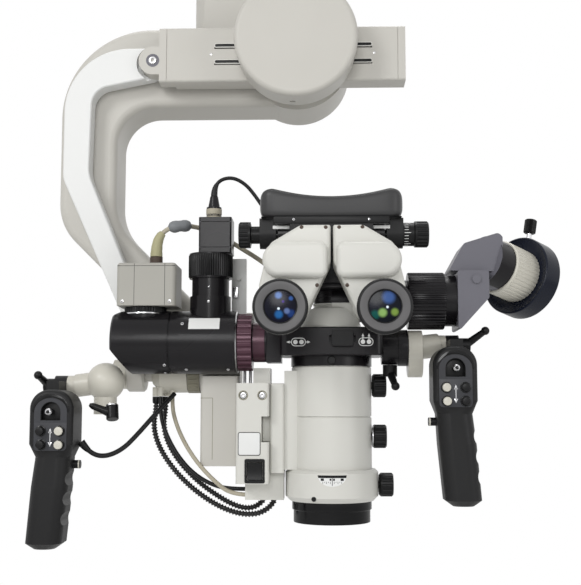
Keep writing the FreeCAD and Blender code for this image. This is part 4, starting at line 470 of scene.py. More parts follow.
def finish_edges(piece: bpy.types.Object, width: float) -> None:
    """Rounds the sharp edges of a mesh by a width in metres and shades it smooth."""
    piece.data.polygons.foreach_set("use_smooth", [True] * len(piece.data.polygons))
    bevel = piece.modifiers.new("round_edges", "BEVEL")
    bevel.width = width
    bevel.segments = 2
    bevel.limit_method = "ANGLE"
    bevel.angle_limit = math.radians(32)
    bevel.harden_normals = True
    bevel.use_clamp_overlap = True
    weighted = piece.modifiers.new("flat_faces", "WEIGHTED_NORMAL")
    weighted.weight = 90
    weighted.keep_sharp = True


def dressed_copy(node: str, name: str, width: float, cut: tuple[Point, Point] | None = None) -> bpy.types.Object:
    """A merged copy of a frame node with flat faces joined and its edges rounded, which stands for that node.

    Args:
        node: name of the frame node.
        name: name of the new piece.
        width: width of the edge rounding in metres.
        cut: a point in millimetres and a direction; what lies beyond that plane is cut off and the cut closed.

    Returns:
        The new object.
    """
    mesh = frame["nodes"][node].data.copy()
    mesh.name = name
    mesh.materials.clear()
    work = bmesh.new()
    work.from_mesh(mesh)
    bmesh.ops.remove_doubles(work, verts=work.verts, dist=2e-6)
    if cut:
        done = bmesh.ops.bisect_plane(work, geom=[*work.verts, *work.edges, *work.faces], dist=1e-6,
                                      plane_co=Vector(cut[0]) * MM, plane_no=Vector(cut[1]), clear_outer=True)
        rim = [item for item in done["geom_cut"] if isinstance(item, bmesh.types.BMEdge)]
        bmesh.ops.triangle_fill(work, edges=rim, use_beauty=True)
        bmesh.ops.recalc_face_normals(work, faces=work.faces)
    bmesh.ops.dissolve_limit(work, angle_limit=math.radians(1.0), verts=work.verts, edges=work.edges)
    work.to_mesh(mesh)
    work.free()
    piece = link_object(name, mesh)
    finish_edges(piece, width)
    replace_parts(piece, node)
    return piece


def body_of_node(node: str) -> str:
    """Name of the body that carries a frame node."""
    return frame["nodes"][node]["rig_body"]


def place_piece(piece: bpy.types.Object, body: str, slot: Slot, extra: Extra | None = None) -> bpy.types.Object:
    """Lets a piece ride on its body and gives it its slot's finish, or the extra one."""
    PAINT.put(piece, extra or slot)
    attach(piece, body)
    return piece


class Shape:
    """Surfaces gathered as arrays, in millimetres, and made into one piece at the end."""

    def __init__(self) -> None:
        """Starts with no corners."""
        self.corners: list[np.ndarray] = []
        self.faces: list[list[int]] = []
        self.count = 0

    def add(self, corners: np.ndarray, faces: list[list[int]]) -> "Shape":
        """Adds one surface whose faces count from its own first corner."""
        self.faces += (np.asarray(face) + self.count for face in faces)
        self.corners.append(corners)
        self.count += len(corners)
        return self

    def turned(self, profile: list[tuple[float, float]], centre: Point, direction: Point, steps: int = 40,
               *flutes: tuple[float, float]) -> "Shape":
        """Adds a solid turned about an axis, closed at both ends; the numbers are those of turned_grid."""
        return self.add(turned_grid(profile, centre, direction, steps, *flutes), closed_faces(len(profile), steps))

    def hoop(self, profile: list[tuple[float, float]], centre: Point, direction: Point, steps: int = 64,
             *flutes: tuple[float, float]) -> "Shape":
        """Adds a ring: the closed profile is turned about the axis, and its last row joins its first."""
        faces = strip_faces(len(profile) + 1, steps) % (len(profile) * steps)
        return self.add(turned_grid(profile, centre, direction, steps, *flutes), faces.tolist())

    def plate(self, outline: np.ndarray, origin: Point, low: float, high: float, edge: float) -> "Shape":
        """Adds a plate: an outline in X and Z, carried from low to high towards the front.

        Both rims are drawn in along a quarter circle of the edge's radius: inset = edge (1 - sin v).

        Args:
            outline: an (n, 2) array in millimetres.
            origin: where the outline's zero lies.
            low: near face.
            high: far face.
            edge: radius of the rims.

        Returns:
            The shape itself.
        """
        turn = np.linspace(0, math.pi / 2, 4)
        drop, rise = edge * (1 - np.cos(turn)), edge * (1 - np.sin(turn))
        rings = [front_ring(outline_inset(outline, inset), origin, where) for inset, where in
                 zip(np.concatenate([rise, drop]), np.concatenate([low + drop, high - rise]))]
        return self.add(np.concatenate(rings), closed_faces(len(rings), len(outline)))

    def slab(self, size: Point, middle: tuple[float, float], face: float, low: float, high: float,
             edge: float) -> "Shape":
        """Adds a plate with round corners: width, height and corner, its middle in X and Z, and the face it is on."""
        return self.plate(box_outline(*size, middle), (0.0, face, 0.0), low, high, edge)

    def border(self, outer: np.ndarray, inner: np.ndarray, origin: Point, low: float, high: float) -> "Shape":
        """Adds a flat frame between two outlines with the same number of points, from low to high."""
        rings = [front_ring(flat, origin, where)
                 for flat, where in ((outer, low), (outer, high), (inner, high), (inner, low))]
        faces = strip_faces(5, len(outer)) % (4 * len(outer))
        return self.add(np.concatenate(rings), faces.tolist())

    def tube(self, path: np.ndarray, radii: np.ndarray, steps: int) -> "Shape":
        """Adds a tube: at each point of the path a circle of its radius stands square to the path.

        Args:
            path: an (n, 3) array in millimetres.
            radii: n radii.
            steps: points round the tube.

        Returns:
            The shape itself.
        """
        tangent = np.gradient(path, axis=0)
        tangent /= np.linalg.norm(tangent, axis=1)[:, None]
        helper = np.array([0.0, 1.0, 0.0]) if abs(tangent[:, 1]).max() < 0.95 else np.array([0.0, 0.0, 1.0])
        side = np.cross(tangent, helper)
        side /= np.linalg.norm(side, axis=1)[:, None]
        up = np.cross(side, tangent)
        angle = np.linspace(0, 2 * math.pi, steps, endpoint=False)
        corners = path[:, None, :] + np.asarray(radii, float)[:, None, None] * (
            np.cos(angle)[None, :, None] * side[:, None, :] + np.sin(angle)[None, :, None] * up[:, None, :])
        return self.add(corners.reshape(-1, 3), closed_faces(len(path), steps))

    def wrapped(self, span: tuple[float, float], arc: tuple[float, float], axis_at: tuple[float, float],
                radius: float, thick: float) -> "Shape":
        """Adds a plate bent round an axis along X: (x, y0 - r cos a, z0 - r sin a), a measured down from the front.

        Args:
            span: first and last x in millimetres.
            arc: first and last angle in degrees.
            axis_at: y0 and z0.
            radius: radius of the inner face.
            thick: thickness outwards.

        Returns:
            The shape itself.
        """
        x, turn = np.meshgrid(np.linspace(*span, 5), np.radians(np.linspace(*arc, 24)), indexing="ij")
        return self.skin(*(np.stack([x, axis_at[0] - reach * np.cos(turn), axis_at[1] - reach * np.sin(turn)], axis=2)
                           for reach in (radius, radius + thick)))

    def skin(self, inner: np.ndarray, outer: np.ndarray) -> "Shape":
        """Adds two (m, n, 3) grids of corners and the band that joins their rims."""
        rims = np.stack([np.concatenate([grid[0], grid[1:, -1], grid[-1, -2::-1], grid[-2:0:-1, 0]])
                         for grid in (outer, inner)])
        return self.grid(inner).grid(outer).grid(rims, wrap=True)

    def grid(self, corners: np.ndarray, wrap: bool = False) -> "Shape":
        """Adds a surface from an (m, n, 3) array of corners; its columns close on themselves where wrap is set."""
        rows, columns = corners.shape[:2]
        return self.add(corners.reshape(-1, 3), strip_faces(rows, columns, wrap).tolist())

    def mesh(self, name: str) -> bpy.types.Object:
        """Makes the mesh object."""
        return mesh_piece(name, np.concatenate(self.corners) * MM, [list(map(int, face)) for face in self.faces])

    def piece(self, name: str, body: str, slot: Slot, extra: Extra | None = None) -> bpy.types.Object:
        """Makes the piece, lets it ride on the body and gives it its finish."""
        return place_piece(self.mesh(name), body, slot, extra)


def front_ring(outline: np.ndarray, origin: Point, where: float) -> np.ndarray:
    """Corners of an outline in X and Z that stands the given way in front of its origin: (x, y0 - where, z)."""
    corners = np.asarray(origin, float) + np.array([0.0, -where, 0.0])
    return np.column_stack([outline[:, 0], np.zeros(len(outline)), outline[:, 1]]) + corners


def box_outline(width: float, height: float, corner: float, middle: tuple[float, float] = (0.0, 0.0)) -> np.ndarray:
    """A rectangle with round corners about a middle point, in millimetres."""
    half, tall = width / 2, height / 2
    points = [(-half, -tall, corner), (half, -tall, corner), (half, tall, corner), (-half, tall, corner)]
    return rounded_outline(points) + np.asarray(middle)


def screw_row(heads: list[tuple[Point, Point, float]]) -> Shape:
    """Small socket screws: each is a low dome with a deep round recess.

    Args:
        heads: centre, outward direction and radius of each.

    Returns:
        The shape with all of them.
    """
    shape = Shape()
    for centre, out, radius in heads:
        shape.turned([(radius, -0.4 * radius), (radius, 0.18 * radius), (0.86 * radius, 0.34 * radius),
                      (0.5 * radius, 0.38 * radius), (0.44 * radius, 0.3 * radius), (0.4 * radius, -0.25 * radius),
                      (0.02, -0.3 * radius)], centre, out, 24)
    return shape


NODE_SLOTS: dict[str, Slot] = {entry["node"]: Slot(entry["material_slot"]) for entry in frame["record"]["subparts"]}


@dataclass
class DressedNode:
    """A frame node that keeps its form and gets rounded edges and its finish."""

    node: str
    edge: float = 0.0006
    cut: tuple[Point, Point] | None = None
    mark: str = "skin"
    slot: Slot | None = None
    extra: Extra | None = None
    side: tuple[Slot | Extra, Point, float] | None = None

    def build(self) -> bpy.types.Object:
        """Makes the rounded copy and lets it ride with the node's body."""
        piece = dressed_copy(self.node, self.node + "_" + self.mark, self.edge, self.cut)
        place_piece(piece, body_of_node(self.node), self.slot or NODE_SLOTS[self.node], self.extra)
        if self.side:
            PAINT.put_by_side(piece, *self.side)
        return piece


ROUTES: dict[str, list[Point]] = {
    "conduit_outer": [
        (-86, -62, -511.3), (-86, -62, -525), (-88.5, -65, -541), (-84, -67, -560), (-73, -69, -579), (-57, -70, -598),
        (-37, -70.5, -615), (-14, -70.5, -629), (9, -70, -636.5), (31, -69, -634.9), (46.5, -69, -619.3),
        (46.5, -69, -597.3)],
    "conduit_inner": [
        (-77, -53, -511.3), (-77, -53, -524), (-79, -56, -540), (-75, -58, -558), (-64, -59.5, -577),
        (-48, -60.5, -595), (-29, -61, -611), (1, -61, -629), (21.5, -61, -631), (36, -61, -616.4), (36, -61, -597.3)],
    "lead_black": [
        (-80, -71, -511.3), (-80, -72, -525), (-76.5, -78, -541), (-68, -83, -559), (-57, -86, -576),
        (-43, -88, -591), (-26, -88.5, -602), (-7, -88, -608), (13.7, -88, -608)],
    "lead_beige": [
        (-68, -65, -511.3), (-68, -66, -524), (-63, -73, -539), (-56, -82, -553), (-46, -93, -568),
        (-33, -101.5, -584), (-17, -102, -600), (-2, -98.5, -612), (13.7, -98.5, -613)],
    "handle_cable": [
        (-152.5, -128, -558), (-144, -127, -569), (-129, -123, -573.5), (-112, -115, -566), (-98, -104, -550),
        (-84, -93, -532), (-71.7, -83, -517.4), (-64.2, -76.2, -508.2)],
    "camera_cable": [
        (-20.4, -104, -298.7), (-20.4, -104, -289), (-13, -103.5, -280), (0, -102, -278), (13, -100, -285),
        (23, -98, -297), (33, -97, -312), (44, -94, -329), (54, -89, -347), (61, -83, -367), (65, -79, -389),
        (66, -78, -416), (66, -78, -440.7)],
    "camera_box_cable": [
        (-81.5, -104, -363.7), (-81.5, -104, -351), (-77, -104, -339), (-66, -103, -331.5), (-52, -98, -329),
        (-40, -85, -329), (-27, -77, -331.5), (-10, -74, -340), (7, -75, -351), (23, -76, -361), (38, -77, -372),
        (48.5, -77, -387), (54, -77.5, -405), (55.5, -78, -424), (55.5, -78, -440.7)],
}


@dataclass(frozen=True)
class Fitting:
    """A tapered boot, ferrite or strain relief on a cord: its span along the cord and its radii."""

    name: str
    span: tuple[float, float]
    radii: tuple[float, ...]
    slot: Slot
    extra: Extra | None = None


def route_points(line: bpy.types.Object) -> tuple[np.ndarray, np.ndarray]:
    """Reads the points of a curve object without thickness.

    Args:
        line: the curve object.

    Returns:
        The points in metres, and the run along the curve at each.
    """
    read = bpy.data.meshes.new_from_object(line)
    sample = np.zeros(len(read.vertices) * 3)
    read.vertices.foreach_get("co", sample)
    bpy.data.meshes.remove(read)
    sample = sample.reshape(-1, 3)
    return sample, np.concatenate([[0], np.cumsum(np.linalg.norm(np.diff(sample, axis=0), axis=1))])


def points_at(sample: np.ndarray, run: np.ndarray, place: np.ndarray) -> np.ndarray:
    """Points of the route at the given runs, in metres."""
    return np.stack([np.interp(place, run, sample[:, axis]) for axis in range(3)], axis=1)


@dataclass
class Cord:
    """A cord on its smooth route; a conduit is corrugated, a lead is smooth."""

    node: str
    radius: float
    slot: Slot
    length: float
    ribbed: bool = False
    fittings: tuple[Fitting, ...] = ()
    extra: Extra | None = None
    rib_pitch: float = 3.4
    rib_depth: float = 0.55

    def centre_line(self) -> bpy.types.Object:
        """Makes the route's NURBS curve, whose control points are the route's points.

        Returns:
            The curve object, with no thickness yet.
        """
        curve = bpy.data.curves.new(self.node + "_line", "CURVE")
        curve.dimensions = "3D"
        curve.resolution_u = 12
        curve.use_fill_caps = True
        spline = curve.splines.new("NURBS")
        route = np.asarray(ROUTES[self.node], float) * MM
        spline.points.add(len(route) - 1)
        spline.points.foreach_set("co", np.column_stack([route, np.ones(len(route))]).ravel())
        spline.order_u = 3
        spline.use_endpoint_u = True
        return link_object(self.node + "_cord", curve)

    def ribbed_tube(self, sample: np.ndarray, run: np.ndarray) -> tuple[bpy.types.Object, np.ndarray]:
        """Corrugated tube along the route's own line.

        radius = mean + depth * clip(1.5 cos(2 pi * run / pitch), -1, 1).

        Args:
            sample: points of the route in metres.
            run: the run at each.

        Returns:
            The tube and the points that its middle follows.
        """
        pitch = self.rib_pitch * MM
        place = np.linspace(0, run[-1], int(run[-1] / pitch * 8))
        path = points_at(sample, run, place)
        wave = np.clip(np.cos(2 * math.pi * place / pitch) * 1.5, -1, 1)
        shape = Shape().tube(path / MM, self.radius - self.rib_depth + self.rib_depth * wave, 20)
        return shape.mesh(self.node + "_tube"), path

    def fit(self, sample: np.ndarray, run: np.ndarray) -> list[bpy.types.Object]:
        """Makes the fittings on the route's own line.

        Args:
            sample: points of the route in metres.
            run: the run at each.

        Returns:
            The pieces.
        """
        made = []
        for item in self.fittings:
            start, end = item.span
            place = np.linspace(start, end, len(item.radii)) * MM
            shape = Shape().tube(points_at(sample, run, place) / MM, np.asarray(item.radii), 28)
            made.append(shape.piece(item.name, body_of_node(self.node), item.slot, item.extra))
        return made

    def build(self) -> bpy.types.Object:
        line = self.centre_line()
        sample, run = route_points(line)
        if self.ribbed:
            piece, points = self.ribbed_tube(sample, run)
            bpy.data.objects.remove(line)
        else:
            piece = line
            piece.data.bevel_depth = self.radius * MM
            piece.data.bevel_resolution = 5
        place_piece(piece, body_of_node(self.node), self.slot, self.extra)
        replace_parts(piece, self.node)
        self.fit(sample, run)
        return piece


@dataclass
class Studio:
    """Pale floor, plain soft lamps, white surroundings and the photograph's camera."""

    camera_place: Point = (0.0938, -1.205, -0.520)
    pitch: float = 6.1
    yaw: float = 1.7
    lens: float = 64.6
    floor_height: float = -1.02
    floor_half: float = 6.0

    def camera(self) -> None:
        """Sets up the camera at the photograph's place and angle."""
        data = bpy.data.cameras.new("camera")
        data.lens = self.lens
        data.sensor_width = 36.0
        piece = link_object("camera", data)
        piece.location = self.camera_place
        piece.rotation_euler = Euler((math.radians(90 + self.pitch), 0, math.radians(self.yaw)), "XYZ")
        bpy.context.scene.camera = piece

    def lamp(self, name: str, place: Point, target: Point, size: float, power: float) -> None:
        """One round soft lamp.

        Args:
            name: name of the lamp.
            place: where it stands.
            target: what it faces.
            size: its width in metres.
            power: power in watts.
        """
        data = bpy.data.lights.new(name, "AREA")
        data.shape = "DISK"
        data.size = size
        data.energy = power
        piece = link_object(name, data)
        piece.location = place
        piece.rotation_euler = (Vector(target) - Vector(place)).to_track_quat("-Z", "Y").to_euler()

    def floor(self) -> None:
        """Lays a wide pale floor that keeps the object's shadow and fades to white with distance."""
        corners = self.floor_half * np.array([(-1, -1, 0), (1, -1, 0), (1, 1, 0), (-1, 1, 0)], float)
        corners[:, 2] = self.floor_height
        piece = mesh_piece("floor", corners, [[0, 1, 2, 3]], smooth=False)
        material, tree, shader = new_material("floor", {"Roughness": 0.7})
        place = add_node(tree, "TexCoord")
        tone = add_node(tree, "TexNoise", {"Scale": 2.0})
        shade = add_node(tree, "Mix", {MIX_FIRST: (0.86, 0.86, 0.85, 1), MIX_SECOND: (0.84, 0.84, 0.835, 1)},
                         data_type="RGBA")
        far = add_node(tree, "VectorMath", operation="LENGTH")
        fade = add_node(tree, "MapRange", {"From Min": 0.9, "From Max": 1.9, "To Min": 0.7, "To Max": 1.0})
        path = add_node(tree, "LightPath")
        glow = add_node(tree, "Emission", {"Color": (1, 1, 1, 1)})
        share = add_node(tree, "Math", operation="MULTIPLY")
        mix = add_node(tree, "MixShader")
        wire(tree, (place, "Object", tone, "Vector"), (place, "Object", far, 0), (tone, "Fac", shade, "Factor"),
             (shade, MIX_RESULT, shader, "Base Color"), (far, "Value", fade, "Value"), (fade, "Result", share, 1),
             (path, "Is Camera Ray", share, 0), (share, "Value", mix, "Fac"), (shader, "BSDF", mix, 1),
             (glow, "Emission", mix, 2), (mix, "Shader", tree.nodes["Material Output"], "Surface"))
        piece.data.materials.append(material)

    def surroundings(self) -> None:
        """White to the camera, in reflections and through glass; a plain soft grey light elsewhere."""
        world = bpy.data.worlds.new("surroundings")
        world.use_nodes = True
        tree = world.node_tree
        back = tree.nodes["Background"]
        back.inputs["Color"].default_value = (1, 1, 1, 1)
        path = add_node(tree, "LightPath")
        seen, through = (add_node(tree, "Math", operation="MAXIMUM") for _ in range(2))
        level = add_node(tree, "MapRange", {"To Min": 0.48, "To Max": 1.0})
        wire(tree, (path, "Is Camera Ray", seen, 0), (path, "Is Glossy Ray", seen, 1), (seen, "Value", through, 0),
             (path, "Is Transmission Ray", through, 1), (through, "Value", level, "Value"),
             (level, "Result", back, "Strength"))
        bpy.context.scene.world = world

    def build(self) -> None:
        """Makes the camera, lamps, floor and surroundings."""
        bpy.context.scene.view_settings.view_transform = "Standard"
        self.camera()
        self.lamp("key", (-1.5, -2.2, 0.9), (0.05, -0.1, -0.35), 0.9, 26.0)
        self.lamp("front", (-0.15, -2.7, 0.25), (0.05, -0.1, -0.4), 0.8, 14.0)
        self.lamp("fill", (2.0, -1.8, 0.0), (0.05, -0.1, -0.35), 1.0, 9.0)
        self.lamp("top", (0.1, 0.4, 1.6), (0.05, -0.1, -0.35), 1.2, 14.0)
        self.floor()
        self.surroundings()


OUT: Point = (0.0, -1.0, 0.0)
BACK: Point = (0.0, 1.0, 0.0)
RIGHT: Point = (1.0, 0.0, 0.0)
UP: Point = (0.0, 0.0, 1.0)
SCOPE_X = 104.0  # the microscope's axis
PORT_Y = -104.0  # the plane of the camera and assistant ports
SEAM = (-0.3, 0.05, 0.02)  # depth, rise and edge of a joint line


@dataclass
class BeamTrim:
    """Dark slots and screws of the balance beam, and the screw in its ear."""

    face: float = -70.0
    slots: tuple[tuple[float, float], ...] = ((-120.4, 4.3), (-139.1, 4.3))
    slot_span: tuple[float, float] = (-25.0, 151.0)
    ear: Point = (-94.2, -70.0, -137.0)

    def build(self) -> None:
        """Lines the slots and sets the screws."""
        middle, length = sum(self.slot_span) / 2, self.slot_span[1] - self.slot_span[0]
        liner, lip = Shape(), Shape()
        for height, tall in self.slots:
            inner = box_outline(length - 1.4, tall - 1.0, 1.4, (middle, height))
            outer = box_outline(length + 0.6, tall + 1.0, 2.2, (middle, height))
            liner.plate(inner, (0, self.face, 0), -1.4, -0.5, 0.1)
            lip.border(outer, inner, (0, self.face, 0), -1.4, 0.12)
        liner.piece("beam_slot_liners", "beam", Slot.BLACK_PLASTIC)
        lip.piece("beam_slot_lips", "beam", Slot.WARM_WHITE_PAINT)
        screw_row([((-28.7, self.face, -130.4), OUT, 1.5), ((153.5, self.face, -130.5), OUT, 1.5),
                   (self.ear, OUT, 4.4)]).piece("beam_screws", "beam", Slot.FLANGE_METAL)
        ring = Shape().hoop([(4.6, -0.2), (7.4, -0.2), (7.4, 0.15), (4.6, 0.3)], self.ear, OUT)
        ring.piece("ear_washer", "beam", Slot.SLATE_PAINT)


@dataclass
class SplitterTrim:
    """White signs of the beam path and the port screws on the splitter's front."""

    face: float = -138.0
    both_ways: tuple[float, float] = (70.2, -456.6)
    upwards: tuple[float, float] = (138.8, -456.4)
    apart: float = 3.1

    def sign(self, middle: tuple[float, float], pointing_up: bool) -> Shape:
        """Two filled rounds in a capsule, with arrows to both sides or upwards.

        Args:
            middle: x and z of the sign.
            pointing_up: whether the arrows stand on the rounds.

        Returns:
            The sign's shape.
        """
        shape = Shape()
        origin = (middle[0], self.face, middle[1])
        shape.border(box_outline(15.0, 8.6, 4.2), box_outline(13.6, 7.2, 3.5), origin, 0.0, 0.14)
        turn = np.linspace(0, 2 * math.pi, 24, endpoint=False)
        round_spot = 2.3 * np.stack([np.cos(turn), np.sin(turn)], axis=1)
        for side in (-1, 1):
            shape.plate(round_spot + (side * self.apart, 0), origin, 0.0, 0.16, 0.02)
            if pointing_up:
                head = np.array([(-1.3, 5.4), (1.3, 5.4), (0.0, 8.6)]) + (side * self.apart, 0)
                stem = box_outline(0.8, 3.6, 0.1, (side * self.apart, 3.9))
            else:
                head = np.array([(side * 9.0, -1.5), (side * 12.2, 0.0), (side * 9.0, 1.5)])[::side]
                stem = box_outline(2.4, 0.8, 0.1, (side * 8.2, 0.0))
            for outline in (head, stem):
                shape.plate(outline, origin, 0.0, 0.15, 0.02)
        return shape

    def build(self) -> None:
        """Makes both signs."""
        self.sign(self.both_ways, False).piece("beam_path_sign_left", "scope", Slot.NEAR_WHITE_PAINT)
        self.sign(self.upwards, True).piece("beam_path_sign_right", "scope", Slot.NEAR_WHITE_PAINT)


@dataclass
class Eyepiece:
    """Soft annulus and coated lens of one eyepiece, with reflections painted on the lens."""

    side: str
    centre: Point
    tone: Point
    # painted reflections and highlights on the lens: place across and up, radius and colour
    spots: tuple[tuple[float, float, float, Point], ...]
    lens_radius: float = 15.0

    def build(self) -> None:
        """Makes the annulus, the dark inner rim and the lens with its own painted reflections."""
        body = "eye_" + self.side
        lens = self.lens_radius
        annulus = Shape().hoop([(lens + 0.6, 4.4), (lens + 0.9, 1.9), (lens + 1.8, 1.1), (20.6, 0.45), (23.2, 0.16),
                                (23.9, 0.35), (23.9, 2.0)], self.centre, BACK, 96)
        annulus.piece("eye_shade_" + self.side, body, Slot.BLACK_RUBBER, Extra.EYE_RUBBER)
        rim = Shape().hoop([(lens - 0.3, 3.4), (lens + 0.2, 1.8), (lens + 1.0, 1.5), (lens + 1.0, 4.0)],
                           self.centre, BACK, 96)
        rim.piece("eye_rim_" + self.side, body, Slot.BLACK_PLASTIC)
        glass = Shape().turned([(lens + 0.2, 4.6), (lens + 0.2, 3.4), (lens * 0.8, 2.9), (lens * 0.5, 2.45),
                                (lens * 0.2, 2.25), (0.05, 2.2)], self.centre, BACK, 72)
        piece = glass.piece("eye_lens_" + self.side, body, Slot.COATED_GLASS)
        piece.data.materials[0] = glass_with_painted_reflections("lens_painted_reflections_" + self.side, self.centre, self.tone, self.spots)


@dataclass
class Saddle:
    """Moulded pad over the hinge, its lower strip, and the white slides and black rods beside the prisms."""

    middle: tuple[float, float] = (SCOPE_X, -135.6)
    half: float = 73.2
    deep: float = 25.0
    low: float = -333.0
    peak: float = 60.0

    def cushion(self) -> np.ndarray:
        """Corners of the pad, as rings along X.

        Each ring is (y, z) = (y0 + deep * e * s(cos u), z0 + tall * e * s(sin u)) with s(v) = sign(v) |v|^0.36, so
        it is a box with soft corners. Its top is -300.2 - 8.6 (1 - (x / peak)^2), level beyond the peak, and
        e = (1 - |x / half|^16)^0.4 draws both ends in.
        """
        across = self.half * np.sin(np.linspace(-0.495, 0.495, 61) * math.pi)
        top = -300.2 - 8.6 * (1 - np.minimum(np.abs(across) / self.peak, 1.0) ** 2)
        ends = (1 - np.abs(across / self.half) ** 16) ** 0.4
        turn = np.linspace(0, 2 * math.pi, 56, endpoint=False)
        round_box = [np.sign(wave) * np.abs(wave) ** 0.36 for wave in (np.cos(turn), np.sin(turn))]
        tall, height = (top - self.low) / 2, (top + self.low) / 2
        return np.stack([
            np.repeat(across[:, None] + self.middle[0], len(turn), axis=1),
            self.middle[1] + self.deep * ends[:, None] * round_box[0][None, :],
            height[:, None] + (tall * ends)[:, None] * round_box[1][None, :],
        ], axis=2)

    def build(self) -> None:
        """Makes the pad and what sits under it."""
        corners = self.cushion()
        ring = corners.shape[1]
        pad = Shape().grid(corners, wrap=True)
        pad.faces += [list(range(ring)), list(range(corners.size // 3 - ring, corners.size // 3))]
        piece = pad.piece("brow_pad", "binocular_head", Slot.BLACK_RUBBER, Extra.PAD_RUBBER)
        piece.data.set_sharp_from_angle(angle=math.radians(80))
        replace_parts(piece, "tilt_saddle")
        strip = Shape().slab((117.0, 7.4, 1.6), (SCOPE_X, -334.6), -160.0, -8.0, 0.9, 0.6)
        strip.piece("pad_strip", "binocular_head", Slot.BLACK_PLASTIC)
        screw_row([((66.0, -161.0, -334.4), OUT, 1.2), ((142.0, -161.0, -334.4), OUT, 1.2)]).piece(
            "pad_screws", "binocular_head", Slot.FLANGE_METAL)
        slides, bars = Shape(), Shape()
        for centre in (53.0, 155.0):
            slides.slab((17.0, 3.4, 0.6), (centre, -340.6), -152.0, -3.0, 0.0, 0.5)
            inwards = 1.5 if centre < SCOPE_X else -1.5
            bars.turned([(2.6, -12.0), (2.6, 12.0)], (centre + inwards, -143.0, -347.2), RIGHT, 24)
        slides.piece("slide_bars", "binocular_head", Slot.NEAR_WHITE_PAINT)
        bars.piece("hinge_rods", "binocular_head", Slot.BLACK_ANODISED, Extra.GLOSS_BLACK)


@dataclass
class PrismTrim:
    """Small brown screws of both prism covers."""

    face: float = -204.7

    def build(self) -> None:
        """Sets three screws in each cover."""
        left = [(74.8, -349.7), (98.1, -349.9), (89.5, -406.0)]
        right = [(111.0, -349.9), (133.4, -349.7), (118.5, -406.0)]
        for side, spots in (("left", left), ("right", right)):
            heads = Shape()
            for x, z in spots:
                heads.turned([(1.9, -0.5), (1.9, 0.2), (1.5, 0.5), (0.03, 0.6)], (x, self.face, z), OUT, 24)
            heads.piece("prism_screws_" + side, "prism_" + side, Slot.FLANGE_METAL, Extra.BROWN_PLASTIC)


@dataclass
class VideoTubeTrim:
    """Cover plates, blank label, screws and rings of the black video tube and its upright port."""

    axis_at: tuple[float, float] = (PORT_Y, -455.0)
    radius: float = 33.0
    port: Point = (-23.4, PORT_Y, 0.0)

    def surface(self, x: float, angle: float, rise: float = 0.0) -> tuple[Point, Point]:
        """A place on the tube's skin and the direction outwards there."""
        turn = math.radians(angle)
        out = (0.0, -math.cos(turn), -math.sin(turn))
        reach = self.radius + rise
        return (x, self.axis_at[0] + reach * out[1], self.axis_at[1] + reach * out[2]), out

    def build(self) -> None:
        """Makes every piece on the tube."""
        plates = Shape().wrapped((-97.0, -65.4), (-11.2, 80.0), self.axis_at, self.radius - 0.6, 1.0)
        plates.wrapped((-52.2, 2.6), (-11.2, 80.0), self.axis_at, self.radius - 0.6, 1.0)
        plates.piece("tube_cover_plates", "scope", Slot.BLACK_ANODISED)
        label = Shape().wrapped((-43.0, -11.0), (-46.0, -21.5), self.axis_at, self.radius - 0.4, 0.56)
        label.piece("blank_label", "scope", Slot.NEAR_WHITE_PAINT)
        spots = [self.surface(x, angle, 0.3) for x, angle in
                 ((-49.4, -32.0), (-68.2, 47.0), (-69.0, 74.0), (-46.2, 60.0), (-2.8, 60.0))]
        heads = [(place, out, 1.7) for place, out in spots]
        heads += [((-23.4, -125.3, -413.6), OUT, 1.3), ((-23.4, -123.4, -398.0), OUT, 0.8)]
        screw_row(heads).piece("tube_screws", "scope", Slot.FLANGE_METAL)
        ring = Shape().hoop([(31.2, 4.6), (32.3, 4.2), (32.5, 5.0), (31.6, 6.1), (31.2, 6.1)],
                            (0, *self.axis_at), RIGHT, 96)
        ring.piece("tube_silver_ring", "scope", Slot.FLANGE_METAL)
        knurl = Shape().hoop([(22.3, -386.6), (22.9, -386.2), (23.0, -378), (23.0, -371), (22.9, -363.4),
                              (22.3, -362.6)], self.port, UP, 240, (60, 0.4), (-386.5, -363.0))
        knurl.piece("port_knurl", "scope", Slot.BLACK_PLASTIC)
        disc = Shape().hoop([(20.8, -424.2), (21.7, -424.3), (21.9, -425.5), (21.2, -426.0)], (-92.0, PORT_Y, 0.0),
                            UP, 96)
        disc.piece("adapter_edge", "scope", Slot.FLANGE_METAL)
        wheel = Shape().hoop([(20.7, -424.0), (21.8, -423.8), (21.8, -418.7), (20.7, -418.2)], (-92.0, PORT_Y, 0.0),
                             UP, 200, (50, 0.35), (-423.9, -418.5))
        wheel.piece("adapter_knurl", "scope", Slot.BLACK_PLASTIC)
        sleeve = Shape().hoop([(20.4, 22.3), (20.75, 22.5), (20.75, 34.6), (20.4, 34.9)],
                              (0, *self.axis_at), RIGHT, 96)
        sleeve.piece("plum_sleeve", "scope", Slot.PLUM_ANODISED)


